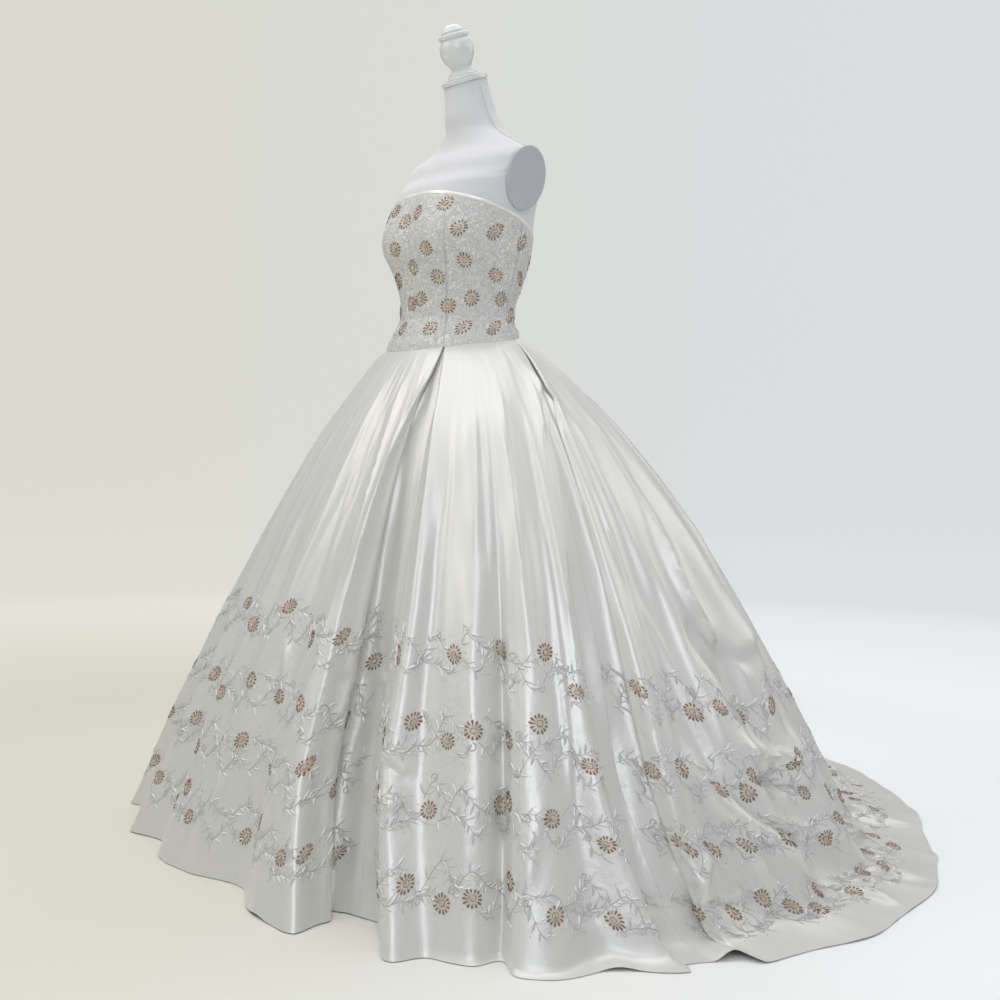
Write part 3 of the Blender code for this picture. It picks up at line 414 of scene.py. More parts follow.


# %% [markdown]
# ## Creases
# Satin remembers how it was folded and packed. Every crease here is a short bent path with a
# depth and two widths, laid over the folds. The cloth falls away from the line on both
# sides, steeply where the width is small, so a ridge divides a bright plane from a grey one.
# Those at the back and on the wearer's right are like the ones in view.

# %% Lay creases into the cloth
# Angles at start, middle and end, shares of the way from waist to hem, depth in mm (out is +),
# width in mm toward the front of each side and away from it
CREASES = (
    # On the panel that faces the camera, between the princess and the side pleat
    ("thigh shade", (50, 47, 47.5), (0.2, 0.5, 0.8), -5, 30, 30),
    ("thigh ridge", (58, 54.8, 54), (0.34, 0.68, 0.95), 8.5, 40, 30),
    ("thigh band", (60.5, 59, 57.5), (0.1, 0.25, 0.4), 5, 38, 10),
    ("lap valley", (65.6, 62.4, 60.2), (0.4, 0.68, 0.99), -10, 34, 9),
    ("lap slant", (66.5, 63.8, 61.5), (0.73, 0.81, 0.89), 5, 16, 8),
    ("knee ridge", (74.4, 71.8, 69.4), (0.3, 0.58, 0.84), 8, 42, 9),
    ("knee valley", (77.4, 75, 76.6), (0.36, 0.64, 0.86), -9, 9, 24),
    ("hip tuck", (72.5, 69, 66.5), (0.06, 0.22, 0.42), 5, 30, 10),
    ("calf ridge", (85.6, 84.8, 84), (0.4, 0.62, 0.84), 7, 12, 34),
    ("calf shade", (80.5, 79.5, 79.5), (0.6, 0.75, 0.92), -6, 26, 16),
    ("shin slant", (84.2, 85.8, 88.5), (0.845, 0.865, 0.89), 7, 14, 14),
    ("shin slant shade", (76, 79.5, 85), (0.885, 0.9, 0.905), -7, 16, 16),
    ("shin pocket", (66.5, 69.5, 72), (0.9, 0.915, 0.91), -6, 14, 12),
    # On the front panel
    ("front band", (5, 1, -2.6), (0.03, 0.3, 0.66), 6, 44, 26),
    ("front shade", (14.5, 12.5, 11), (0.14, 0.45, 0.75), -6, 40, 24),
    ("front slant", (20, 18.5, 16), (0.42, 0.6, 0.8), 5, 12, 30),
    ("front far ridge", (-14, -16.5, -18), (0.25, 0.55, 0.9), 7, 34, 20),
    ("front far shade", (-8.5, -10, -11), (0.3, 0.6, 0.94), -7, 26, 22),
    ("front glint", (1, 4.5, 6.5), (0.56, 0.62, 0.71), 6, 14, 14),
    ("front glint 2", (9, 7, 8), (0.7, 0.78, 0.88), 6, 16, 12),
    ("front hem wave", (-4, -5, -5), (0.8, 0.9, 0.99), 7, 30, 18),
    ("pleat pocket", (41, 43.6, 46), (0.715, 0.745, 0.75), -8, 13, 13),
    ("pleat pocket lip", (40, 43, 46.5), (0.762, 0.785, 0.775), 6, 10, 10),
    ("pleat face tuck", (31.5, 35, 38), (0.6, 0.625, 0.61), 5, 9, 9),
    ("panel tuck", (24.5, 26, 27.5), (0.615, 0.62, 0.605), -4, 9, 9),
    # Behind the side pleat, on the wearer's left
    ("side fan 1", (91, 82, 76.5), (0.05, 0.2, 0.46), 6.8, 8, 20),
    ("side fan 2", (95, 88.6, 86), (0.05, 0.17, 0.46), 7.5, 8, 20),
    ("side fan 3", (96.5, 91.5, 90), (0.09, 0.2, 0.5), 9, 9, 24),
    ("side fan 4", (98, 96.4, 95), (0.13, 0.26, 0.5), 7.5, 10, 24),
    ("side fan 5", (108.5, 106.4, 104.5), (0.12, 0.23, 0.38), 7.5, 12, 26),
    ("hip flap edge", (107.5, 101.2, 111.2), (0.25, 0.44, 0.545), 22, 9, 70),
    ("hip flap tip", (111, 116, 126), (0.545, 0.52, 0.49), 9, 22, 60),
    ("hip pocket", (99.8, 100.4, 104.5), (0.47, 0.54, 0.61), -17, 14, 18),
    ("hip ridge", (111.6, 110.8, 109.4), (0.54, 0.61, 0.71), 15, 16, 36),
    ("hip plane", (117.5, 117, 115), (0.56, 0.62, 0.69), -14, 24, 36),
    ("floor break", (97, 106.5, 118.5), (0.665, 0.687, 0.722), 19, 17, 34),
    ("train line", (91.5, 94.6, 96.3), (0.42, 0.66, 0.9), 9, 10, 24),
    ("train line 2", (98, 96.8, 97), (0.34, 0.54, 0.7), 8, 9, 22),
    ("train facet", (84.6, 87, 89.5), (0.87, 0.845, 0.82), 10, 12, 18),
    ("train facet 2", (89.5, 91, 93), (0.82, 0.85, 0.89), 11, 22, 9),
    ("train facet foot", (84.5, 89, 93), (0.887, 0.893, 0.905), -9, 14, 16),
    ("front spike", (18, 20.5, 19), (0.05, 0.22, 0.44), 5, 6, 14),
    ("front spike shade", (14.5, 16.5, 18), (0.1, 0.24, 0.42), -3.5, 16, 6),
    ("front warm plane", (28, 25, 21.5), (0.1, 0.34, 0.6), 5, 22, 8),
    ("front far plane", (-28, -24, -23), (0.12, 0.4, 0.8), 6, 9, 26),
    ("thigh fine line", (53.5, 51, 50.2), (0.12, 0.36, 0.62), 4, 6, 18),
    ("thigh fine line 2", (63.5, 61.8, 60.5), (0.08, 0.28, 0.55), 4.5, 7, 20),
    ("lap fine line", (69, 67.2, 66), (0.1, 0.34, 0.62), 4.5, 18, 6),
    ("knee fine line", (80, 76.5, 74.5), (0.1, 0.3, 0.6), 4.5, 6, 18),
    ("calf fine line", (89.5, 88.4, 87.6), (0.4, 0.6, 0.8), 5, 6, 20),
    ("left lip glint", (39, 27.6, 23.4), (0.05, 0.2, 0.47), 5, 16, 5),
    ("left lip glint 2", (43.3, 43.4, 42.2), (0.08, 0.26, 0.56), 4.5, 5, 16),
    ("floor break hollow", (97.5, 108, 117), (0.712, 0.738, 0.758), -16, 20, 20),
    ("train long fold", (92, 95, 112), (0.66, 0.77, 0.865), 16.9, 20, 24),
    ("train long hollow", (95.5, 99.5, 114), (0.71, 0.785, 0.84), -15.6, 20, 20),
    ("train inner fold", (100, 104, 121), (0.76, 0.8, 0.825), 12.6, 14, 20),
    ("train short fold", (94, 96.4, 97), (0.8, 0.85, 0.9), 11.2, 16, 12),
    ("train edge fold", (107, 112, 113), (0.885, 0.93, 0.99), 14, 22, 20),
    ("train edge fold 2", (112, 119, 129), (0.95, 0.925, 0.93), 12, 16, 18),
    ("train edge hollow", (117, 121, 123), (0.9, 0.95, 0.985), -11.7, 20, 18),
    ("train crumple", (124, 131, 139), (0.84, 0.86, 0.85), 13.5, 14, 18),
    ("train crumple 2", (104, 108, 111), (0.955, 0.94, 0.955), 11.2, 12, 12),
    ("train crumple 3", (127, 126, 132), (0.78, 0.82, 0.86), 12, 14, 14),
    # On the tail and the wearer's right
    ("tail fold", (148, 157, 169), (0.84, 0.865, 0.885), 14, 18, 18),
    ("tail fold 2", (171, 178, 186), (0.9, 0.925, 0.93), 12.6, 16, 16),
    ("tail fold 3", (139, 145, 149), (0.77, 0.86, 0.94), 15.4, 20, 14),
    ("tail fold 4", (165, 167, 166), (0.79, 0.88, 0.95), 11.2, 16, 16),
    ("back band", (176, 172, 170), (0.05, 0.35, 0.7), 6, 40, 30),
    ("back left fan", (147, 138, 133), (0.06, 0.22, 0.48), 7, 9, 24),
    ("back left fan 2", (151, 143, 139), (0.08, 0.24, 0.5), 4.5, 9, 20),
    ("back left hollow", (133, 129, 126), (0.34, 0.56, 0.76), -9, 26, 30),
    ("back right fan", (-150, -141, -137), (0.06, 0.22, 0.48), 7, 24, 9),
    ("right thigh ridge", (-56.5, -53, -52), (0.36, 0.7, 0.95), 8, 30, 40),
    ("right lap valley", (-63.5, -60, -58), (0.38, 0.66, 0.97), -9, 10, 34),
    ("right knee ridge", (-74, -70.5, -69), (0.32, 0.6, 0.86), 7.5, 10, 40),
    ("right knee valley", (-77.5, -74.5, -75.5), (0.38, 0.64, 0.88), -8, 24, 10),
    ("right fan 1", (-90, -82, -77.5), (0.05, 0.2, 0.46), 6.3, 20, 8),
    ("right fan 2", (-96, -91, -89.5), (0.07, 0.19, 0.46), 7.7, 22, 9),
    ("right fan 3", (-107, -103, -101), (0.1, 0.23, 0.42), 7, 24, 12),
    ("right lip glint", (-49, -50.5, -51), (0.1, 0.28, 0.56), 4.5, 16, 5),
    ("right lip glint 2", (-41.5, -37, -35), (0.08, 0.28, 0.56), 4.5, 5, 16),
    ("right hip fold", (-110, -104, -114), (0.26, 0.42, 0.54), 19, 60, 10),
    ("right hip tip", (-114, -120, -128), (0.54, 0.51, 0.48), 8, 50, 20),
    ("right hip ridge", (-114.5, -113.5, -112), (0.54, 0.61, 0.7), 12, 34, 16),
    ("right train line", (-92, -95, -97), (0.44, 0.66, 0.88), 8, 22, 10),
    ("right floor break", (-100, -110, -121.5), (0.675, 0.695, 0.726), 14, 26, 26),
    ("right floor hollow", (-101, -110, -119), (0.716, 0.742, 0.76), -12, 22, 22),
    ("right train fold", (-93, -98, -113), (0.69, 0.785, 0.87), 11, 20, 20),
    ("right train edge fold", (-107, -112, -112), (0.885, 0.93, 0.99), 12, 20, 20),
    ("right train edge fold 2", (-121, -127, -132), (0.935, 0.92, 0.94), 10, 16, 16),
    ("right tail fold", (-142, -147, -150), (0.79, 0.87, 0.94), 10, 16, 16),
)
CREASE_STEPS = 12
CREASE_ROUNDING = 0.13
CREASE_DEPTH = 1.3
CREASE_FALL = 1.5
CREASE_TAPER = 3.5
CREASE_END = 0.03
# A crease is worked out only near its path: in radians round the skirt, in shares down it
CREASE_NEAR_ANGLE = 0.6
CREASE_NEAR_SHARE = 0.13
# Distance where a crease starts to fade out, and the length of that fade, m
FADE_START = 0.05
FADE_LENGTH = 0.07
# Narrow creases, under this width in mm, are drawn narrower still
SHARP_WIDTH = 17.0
SHARPENED = 0.8
PANEL_LENGTH = 1.35
FAR_AWAY = 9.0


def crease_depth(angle, share, reach):
    """Depth that all creases together add at each point of the skirt."""
    total = np.zeros(angle.shape)
    along = np.linspace(0.0, 1.0, CREASE_STEPS)
    for _, angles, shares, depth, width_before, width_after in CREASES:
        start, middle, end = (np.array([math.radians(a), s]) for a, s in zip(angles, shares))
        weights = ((1 - along) ** 2, 2 * along * (1 - along), along**2)
        # The path is bent so that it passes through the middle point
        bend = 2 * middle - (start + end) / 2
        path = sum(weight[:, None] * point for weight, point in zip(weights, (start, bend, end)))
        centre = path[:, 0].mean()
        away = (angle - centre + np.pi) % (2 * np.pi) - np.pi + centre
        near = ((np.abs(away - centre) < CREASE_NEAR_ANGLE) & (share > min(shares) - CREASE_NEAR_SHARE)
                & (share < max(shares) + CREASE_NEAR_SHARE))
        x, y, r = away[near], share[near] * PANEL_LENGTH, reach[near]
        nearest = np.full(x.shape, FAR_AWAY)
        place = np.zeros(x.shape)
        beside = np.zeros(x.shape)
        for step in range(CREASE_STEPS - 1):
            ax, ay = path[step, 0], path[step, 1] * PANEL_LENGTH
            bx, by = path[step + 1, 0], path[step + 1, 1] * PANEL_LENGTH
            px, py = (x - ax) * r, y - ay
            sx, sy = (bx - ax) * r, by - ay
            t = np.clip((px * sx + py * sy) / (sx * sx + sy * sy), 0.0, 1.0)
            distance = np.hypot(px - t * sx, py - t * sy)
            closer = distance < nearest
            nearest = np.where(closer, distance, nearest)
            place = np.where(closer, (step + t) / (CREASE_STEPS - 1), place)
            beside = np.where(closer, px * sy - py * sx, beside)
        width = np.where(beside > 0, width_after, width_before)
        width = np.where(width < SHARP_WIDTH, width * SHARPENED, width) * MM
        taper = smooth_step(place * CREASE_TAPER + CREASE_END) * smooth_step((1.0 - place) * CREASE_TAPER + CREASE_END)
        across = np.exp(-CREASE_FALL * (np.hypot(nearest / width, CREASE_ROUNDING) - CREASE_ROUNDING))
        across = across * (1.0 - smooth_step((nearest - FADE_START) / FADE_LENGTH))
        total[near] += CREASE_DEPTH * depth * MM * across * taper
    return total


deepest = max(CREASES, key=lambda crease: abs(crease[3]))
print("creases: %d, the deepest is the %s" % (len(CREASES), deepest[0]))

# %% [markdown]
# ## The whole skirt as one net of points
# The fold lines are joined by soft curves across the cloth, then creases are added and the net is
# laid in space. Near the waist a fold is laid in square to the cloth, and farther down straight
# outward. Where the train lies on the floor, folds become low lumps.

# %% Lay the skirt in space
FINE_SPACING = 9.0 * MM
FLOOR_LUMP_SHARE = 0.30
FLOOR_LUMP_BASE = 0.055
# A lump fades over the last tenth before the hem, and a hollow may take most of it away
FLOOR_LUMP_END = 1.02
FLOOR_LUMP_FADE = 0.10
FLOOR_LUMP_HOLLOW = 0.8
FLOOR_CLEARANCE = 1.4 * MM
NORMAL_OFFSET_SHARE = 0.35
PROFILE_STEP = 0.002
RUMPLE = 1.7 * MM
# Turns round the skirt, waves down it, start
RUMPLE_WAVES = ((7, 3.1, 1.7), (17, 6.1, 0.8), (23, 10.7, 4.4), (31, 4.9, 5.1), (43, 12.3, 3.3), (57, 9.1, 1.2),
                (71, 14.3, 0.3), (89, 19.7, 2.2))
SHARE_WITHOUT_CREASES = 0.05
# Cloth on the floor keeps this much less of a pleat's depth, a roll's height and a crease's depth
FLAT_PLEAT = 0.94
FLAT_ROLL = 0.75
FLAT_CREASE = 0.6
# Where the hem's own flatness begins, and how soon it is whole
HEM_EDGE_START = 0.84
HEM_EDGE_LENGTH = 0.14
HEM_LIFT_SHARE = 0.06
# Where the hem stands up off the floor: angle, half width in degrees, height in mm
HEM_LIFTS = ((85.4, 2.6, 17.0), (72.0, 3.0, 6.0), (-86.0, 2.8, 14.0), (20.0, 4.0, 5.0), (150.0, 4.0, 9.0))


def skirt_net():
    """Angle and depth of every column of the skirt, and the columns that are seams."""
    lines, seams = skirt_lines()
    rows = SKIRT_ROWS
    angles = np.array([line[0] for line in lines])
    outs = np.array([line[1] for line in lines])
    reach = np.array([bell(angle, rows)[0] for angle in angles])
    count = len(lines)

    def line_at(index):
        turns, index = divmod(index, count)
        return np.stack([angles[index] + 2 * np.pi * turns, outs[index]], -1)

    columns, seam_columns = [], []
    for index in range(count):
        points = [line_at(index + step) for step in (-1, 0, 1, 2)]
        metres = [np.hypot((b - a)[:, 0] * reach[index], (b - a)[:, 1]) for a, b in zip(points, points[1:])]
        knots = [np.zeros(len(rows))]
        for gap in metres:
            knots.append(knots[-1] + np.sqrt(np.maximum(gap, 1e-5)))
        parts = max(2, math.ceil(float(metres[1].max()) / FINE_SPACING))
        if index in seams:
            seam_columns.append(len(columns))
        for part in range(parts):
            columns.append(blend_between(points, knots, np.full(len(rows), part / parts)))
    columns = np.array(columns)
    columns[:, 0, 1] = np.minimum(columns[:, 0, 1], 0.0)
    return columns, seam_columns


def rumples(angle, share):
    """Slight unevenness of the hung satin, longer down the skirt than across it."""
    total = np.zeros(angle.shape)
    for turns, down, start in RUMPLE_WAVES:
        total += np.sin(turns * angle + down * share + start) * np.sin(1.7 * down * share + 2.3 * start)
    return total / len(RUMPLE_WAVES) ** 0.5


def lay_in_space(columns):
    """Centre face of the satin, from each column's angles and depths."""
    rows = SKIRT_ROWS[None, :]
    angle, out = columns[..., 0], columns[..., 1]
    reach, height, on_floor = bell(angle, rows)
    ahead_reach, ahead_height, _ = bell(angle, rows + PROFILE_STEP)
    run, fall = ahead_reach - reach, height - ahead_height
    share = np.broadcast_to(rows, angle.shape)
    fade = smooth_step(share / SHARE_WITHOUT_CREASES)
    extra = fade * (crease_depth(angle, share, reach) + RUMPLE * (0.4 + share) * rumples(angle, share))
    steep = 1.0 - smooth_step(rows / NORMAL_OFFSET_SHARE)
    length = np.hypot(run, fall)
    # Where the train lies on the floor a pleat spreads open, and only low creases are left
    edge = smooth_step((rows - HEM_EDGE_START) / HEM_EDGE_LENGTH)
    flat_fold = np.where(out < 0, FLAT_PLEAT, FLAT_ROLL) * on_floor
    flat_crease = (FLAT_CREASE + (1.0 - FLAT_CREASE) * edge) * on_floor
    depth = out * (1.0 - flat_fold) + extra * (1.0 - flat_crease)
    reach = reach + depth * (steep * fall / length + 1.0 - steep)
    lump = np.maximum(out + FLOOR_LUMP_BASE, 0.0) * FLOOR_LUMP_SHARE
    lump = lump * smooth_step((FLOOR_LUMP_END - rows) / FLOOR_LUMP_FADE)
    height = height + depth * steep * run / length
    height = height + on_floor * (lump + np.maximum(extra, -lump * FLOOR_LUMP_HOLLOW))
    height = height + FLOOR_CLEARANCE * smooth_step(rows * 4.0)
    height = np.where(share > 0.5, np.maximum(height, FLOOR_CLEARANCE), height)
    for lift_angle, half_width, lift in HEM_LIFTS:
        beside = np.abs((np.degrees(angle) - lift_angle + 180.0) % 360.0 - 180.0)
        near_hem = smooth_step((share - (1.0 - HEM_LIFT_SHARE)) / HEM_LIFT_SHARE)
        height = height + lift * MM * smooth_step(1.0 - beside / half_width) * near_hem
    side, ahead = direction(angle)
    return np.stack([reach * side, reach * ahead, height], -1)


skirt_angles, skirt_seams = skirt_net()
skirt_points = lay_in_space(skirt_angles)
downward = unit(np.gradient(skirt_points, axis=1))
skirt_normals = unit(np.cross(downward, np.roll(skirt_points, -1, 0) - np.roll(skirt_points, 1, 0)))
print("skirt net:", skirt_points.shape[0], "columns by", skirt_points.shape[1], "rows")

# %% [markdown]
# ## Cut pieces
# A dressmaker cuts flat panels and sews them together. Each panel here keeps a UV map that is its
# flat cut in metres: across the panel from its middle, and up from the hem. The weave follows it,
# the embroidery is laid out on it, and its widths are the sizes that are printed for each panel.

# %% From a net of points to a sewn panel
UV_METRES = 8.0
PATTERN_GAP = 0.20
SEAM_GAP = 0.3 * MM


def flat_cut(points):
    """Place of every point on the flat cut: across from the middle column, and up from the hem."""
    down = np.linalg.norm(np.diff(points, axis=1), axis=2)
    up = np.concatenate([np.cumsum(down[:, ::-1], 1)[:, ::-1], np.zeros((len(points), 1))], 1)
    across = np.linalg.norm(np.diff(points, axis=0), axis=2)
    arc = np.concatenate([np.zeros((1, points.shape[1])), np.cumsum(across, 0)])
    return arc - arc[len(arc) // 2], up


def grid_faces(across, down, start=0):
    """Faces of a net of points, facing out when its columns run to the wearer's left."""
    corner = start + np.arange(across - 1)[:, None] * down + np.arange(down - 1)[None, :]
    return np.stack([corner, corner + 1, corner + down + 1, corner + down], -1).reshape(-1, 4)


def rim_faces(across, down, inner):
    """Faces that close a wall between an outer and an inner net."""
    top = np.arange(across) * down
    left = np.arange(down)
    edges = (top[::-1], top + down - 1, left, (left + (across - 1) * down)[::-1])
    return np.concatenate([np.stack([edge[:-1], edge[1:], edge[1:] + inner, edge[:-1] + inner], -1)[:, ::-1]
                           for edge in edges])


def link_object(name, data):
    """New object in the scene."""
    made = bpy.data.objects.new(name, data)
    bpy.context.scene.collection.objects.link(made)
    return made


def new_piece(name, vertices, faces, finish=None, smooth_angle=math.radians(50)):
    """One object whose place is in its mesh."""
    mesh = bpy.data.meshes.new(name)
    faces = faces.tolist() if isinstance(faces, np.ndarray) else faces
    mesh.from_pydata(np.asarray(vertices, float).tolist(), [], faces)
    if finish is not None:
        mesh.materials.append(finish)
    mesh.update()
    mesh.shade_smooth()
    mesh.set_sharp_from_angle(angle=smooth_angle)
    return link_object(name, mesh)


def loft(name, rings, finish, smooth_angle=math.radians(40)):
    """Closed solid through rings of points, capped at both ends."""
    rings = np.asarray(rings)
    levels, n = rings.shape[:2]
    faces = [(a * n + i, a * n + (i + 1) % n, (a + 1) * n + (i + 1) % n, (a + 1) * n + i)
             for a in range(levels - 1) for i in range(n)]
    faces.append(tuple(range(n))[::-1])
    faces.append(tuple((levels - 1) * n + i for i in range(n)))
    return new_piece(name, rings.reshape(-1, 3), faces, finish, smooth_angle)


def set_pattern(piece, across, up):
    """Write the flat cut as the piece's UV map."""
    layer = piece.data.uv_layers.new(name="pattern")
    places = np.stack([across, up], -1).reshape(-1, 2) / UV_METRES
    corners = np.empty(len(piece.data.loops), np.int32)
    piece.data.loops.foreach_get("vertex_index", corners)
    layer.data.foreach_set("uv", places[corners].astype(np.float32).ravel())


def sew_shell(name, points, normals, wall, flat, finish):
    """Closed shell of cloth round a net of points, with its flat cut as UV map."""
    across, down = points.shape[:2]
    outer = (points + normals * wall / 2).reshape(-1, 3)
    inner = (points - normals * wall / 2).reshape(-1, 3)
    count = len(outer)
    faces = np.concatenate([
        grid_faces(across, down),
        grid_faces(across, down, count)[:, ::-1],
        rim_faces(across, down, count),
    ])
    piece = new_piece(name, np.concatenate([outer, inner]), faces, finish)
    set_pattern(piece, np.stack([flat[0], flat[0]]), np.stack([flat[1], flat[1]]))
    return piece


# %% [markdown]
# ## Writing finishes as sums
# A finish is easier to read as a formula than as a web of nodes. The small class below wraps a
# socket of a material, so that `1 - mask` or `grain * 0.3` adds the Math node that does it.

# %% A finish written as sums
def add_node(tree, kind, settings=(), inputs=()):
    """Any node: its settings come first, then the values or links of its sockets."""
    made = tree.nodes.new(kind)
    for key, value in dict(settings).items():
        if key == "stops":
            ramp = made.color_ramp
            while len(ramp.elements) < len(value):
                ramp.elements.new(0.5)
            for element, (place, colour) in zip(ramp.elements, value):
                element.position = place
                element.color = (*colour, 1.0)
        else:
            setattr(made, key, value)
    for key, value in dict(inputs).items():
        socket = made.inputs[key]
        source = getattr(value, "socket", value)
        if isinstance(source, bpy.types.NodeSocket):
            tree.links.new(source, socket)
        else:
            socket.default_value = (*source, 1.0) if socket.type == "RGBA" and len(source) == 3 else source
    return made


class Term:
    """A socket of a material that sums can be written with."""

    def __init__(self, tree, socket):
        self.tree = tree
        self.socket = socket

    def sum_with(self, operation, *terms):
        node = add_node(self.tree, "ShaderNodeMath", {"operation": operation}, dict(enumerate(terms)))
        return Term(self.tree, node.outputs[0])

    def __add__(self, other):
        return self.sum_with("ADD", self, other)

    def __rsub__(self, other):
        return self.sum_with("SUBTRACT", other, self)

    def __mul__(self, other):
        return self.sum_with("MULTIPLY", self, other)

    def above(self, edge, softness):
        """1 where the value is over an edge, 0 below it, with a soft step between."""
        low, high = edge - softness, edge + softness
        node = add_node(self.tree, "ShaderNodeMapRange", {"interpolation_type": "SMOOTHSTEP"},
                        {"Value": self, "From Min": low, "From Max": high})
        return Term(self.tree, node.outputs[0])

    __radd__ = __add__
    __rmul__ = __mul__


class Finish:
    """One material, from its coordinates to its surface."""

    def __init__(self, name, view_colour):
        self.material = bpy.data.materials.new(name)
        self.material.use_nodes = True
        self.material.diffuse_color = (*view_colour, 1.0)
        self.tree = self.material.node_tree
        self.shader = next(node for node in self.tree.nodes if node.type == "BSDF_PRINCIPLED")

    def term(self, kind, settings=(), inputs=(), output=0):
        return Term(self.tree, add_node(self.tree, kind, settings, inputs).outputs[output])

    def place(self):
        """Place on the object, in metres."""
        return self.term("ShaderNodeTexCoord", output="Object")

    def cloth(self):
        """Place on the flat cut, in metres."""
        uv = self.term("ShaderNodeUVMap", {"uv_map": "pattern"})
        return self.stretch(uv, (UV_METRES, UV_METRES, UV_METRES))

    def stretch(self, vector, scales):
        return self.term("ShaderNodeVectorMath", {"operation": "MULTIPLY"}, {0: vector, 1: scales})

    def noise(self, vector, scale, detail=2.0, roughness=0.5):
        return self.term("ShaderNodeTexNoise", {}, {"Vector": vector, "Scale": scale, "Detail": detail,
                                                    "Roughness": roughness})

    def cells(self, vector, scale, randomness=1.0):
        return self.term("ShaderNodeTexVoronoi", {}, {"Vector": vector, "Scale": scale, "Randomness": randomness})

    def mix(self, factor, first, second):
        """Colour between two colours."""
        return self.term("ShaderNodeMix", {"data_type": "RGBA"}, {0: factor, 6: first, 7: second}, 2)

    def bump(self, height, distance, strength=1.0, below=None):
        inputs = {"Height": height, "Distance": distance, "Strength": strength}
        if below is not None:
            inputs["Normal"] = below
        return self.term("ShaderNodeBump", {}, inputs)

    def surface(self, **values):
        """Set or link the shader's sockets, and hand the material over."""
        for key, value in values.items():
            socket = self.shader.inputs[key.replace("_", " ")]
            source = getattr(value, "socket", value)
            if isinstance(source, bpy.types.NodeSocket):
                self.tree.links.new(source, socket)
            else:
                socket.default_value = (*source, 1.0) if socket.type == "RGBA" else source
        return self.material


# %% [markdown]
# ## Satin
# Heavy satin has long floating threads, so it shines in a broad streak and turns grey where it
# faces away. A little metal in the shader gives that strong broad lobe. The bump has three sizes:
# threads, a slight slub, and the soft handling marks that never quite hang out.

# %% Satin finish
SATIN_LIGHT = (0.79, 0.78, 0.755)
SATIN_DEEP = (0.70, 0.69, 0.65)


def make_satin(name, roughness, light=SATIN_LIGHT, deep=SATIN_DEEP, worked=0.0):
    """Satin; `worked` puckers it where it is embroidered, up to half a metre above the hem."""
    finish = Finish(name, light)
    cloth = finish.cloth()
    threads = finish.noise(finish.stretch(cloth, (2400.0, 160.0, 1.0)), 1.0, 1.0)
    slub = finish.noise(finish.stretch(cloth, (240.0, 14.0, 1.0)), 1.0, 2.0)
    marks = finish.noise(finish.stretch(cloth, (13.0, 6.0, 1.0)), 1.0, 3.0, 0.5)
    patches = finish.noise(cloth, 3.0, 2.0)
    colour = finish.mix(patches * 0.6 + slub * 0.4, deep, light)
    fine = finish.bump(threads, 0.04 * MM, 0.5)
    slubs = finish.bump(slub, 0.12 * MM, 0.6, fine)
    soft = finish.bump(marks, 3.2 * MM, 0.6, slubs)
    if worked:
        split = finish.term("ShaderNodeSeparateXYZ", {}, {0: cloth}, 1)
        in_bands = split.above(0.07, 0.03) * (1 - split.above(0.57, 0.04))
        puckers = finish.noise(cloth, 46.0, 3.0, 0.6)
        soft = finish.bump(puckers * in_bands, worked, 0.8, soft)
    return finish.surface(
        Base_Color=colour,
        Roughness=slub * 0.10 + patches * 0.06 + (roughness - 0.08),
        Metallic=0.30,
        Specular_IOR_Level=0.6,
        Coat_Weight=0.12,
        Coat_Roughness=0.30,
        Sheen_Weight=0.1,
        Sheen_Roughness=0.4,
        Normal=soft,
    )


satin = make_satin("satin", 0.40, worked=1.6 * MM)
binding_satin = make_satin("binding_satin", 0.40, (0.88, 0.87, 0.84), (0.82, 0.81, 0.77))
print("satin finishes:", satin.name, binding_satin.name)

# %% [markdown]
# ## Sew the skirt
# The net is cut along the hidden centres of the pleats and at the centre back. Every panel is a
# closed shell of thin satin that stands for the plain solid of the same panel.

# %% Skirt panels
PANEL_NAMES = ("skirt_back_right", "skirt_side_back_right", "skirt_side_right", "skirt_front",
               "skirt_side_left", "skirt_side_back_left", "skirt_back_left")
FIRST_PLACE = 0.5


def panel_columns():
    """Columns of the skirt's net that belong to each panel, seams included."""
    turn = np.mod(skirt_angles[:, 0, 0], 2 * np.pi)
    back = int(np.argmin(np.abs(turn - np.pi)))
    cuts = sorted([*skirt_seams, back])
    first = cuts.index(back)
    order = cuts[first:] + cuts[:first] + [back]
    total = len(skirt_points)
    return {name: [(a + step) % total for step in range((b - a) % total + 1)]
            for name, a, b in zip(PANEL_NAMES, order, order[1:])}


# Each panel's shell and flat cut, and its place on the pattern of the whole skirt
skirt_panels = {}
pattern_place = {}
pattern_parts = []
next_place = FIRST_PLACE
around = unit(np.roll(skirt_points, -1, 0) - np.roll(skirt_points, 1, 0))
for panel_name, columns in panel_columns().items():
    points = skirt_points[columns].copy()
    normals = skirt_normals[columns]
    points[0] += around[columns[0]] * SEAM_GAP / 2
    points[-1] -= around[columns[-1]] * SEAM_GAP / 2
    across, up = flat_cut(points)
    next_place += -across.min() + PATTERN_GAP
    flat = (across + next_place, up)
    piece = sew_shell("satin_" + panel_name, points, normals, SATIN_WALL, flat, satin)
    skirt_panels[panel_name] = (piece, across, up)
    pattern_place[panel_name] = next_place
    pattern_parts.append((points + normals * SATIN_WALL / 2, normals, flat))
    next_place += across.max()
    print("%-22s hem %.2f m, waist %.2f m, length %.2f m, %d faces" % (
        panel_name, np.ptp(across[:, -1]), np.ptp(across[:, 0]), up.max(), len(piece.data.polygons)))

# %% [markdown]
# ## Bodice cloth
# The bodice is satin under a net that is covered with thread and tiny beads. From across a room
# the net reads as a fine grey and white speckle, so the finish mixes small cells of thread, bare
# net and bead. The larger leaves, beads and flowers are real shapes further on.

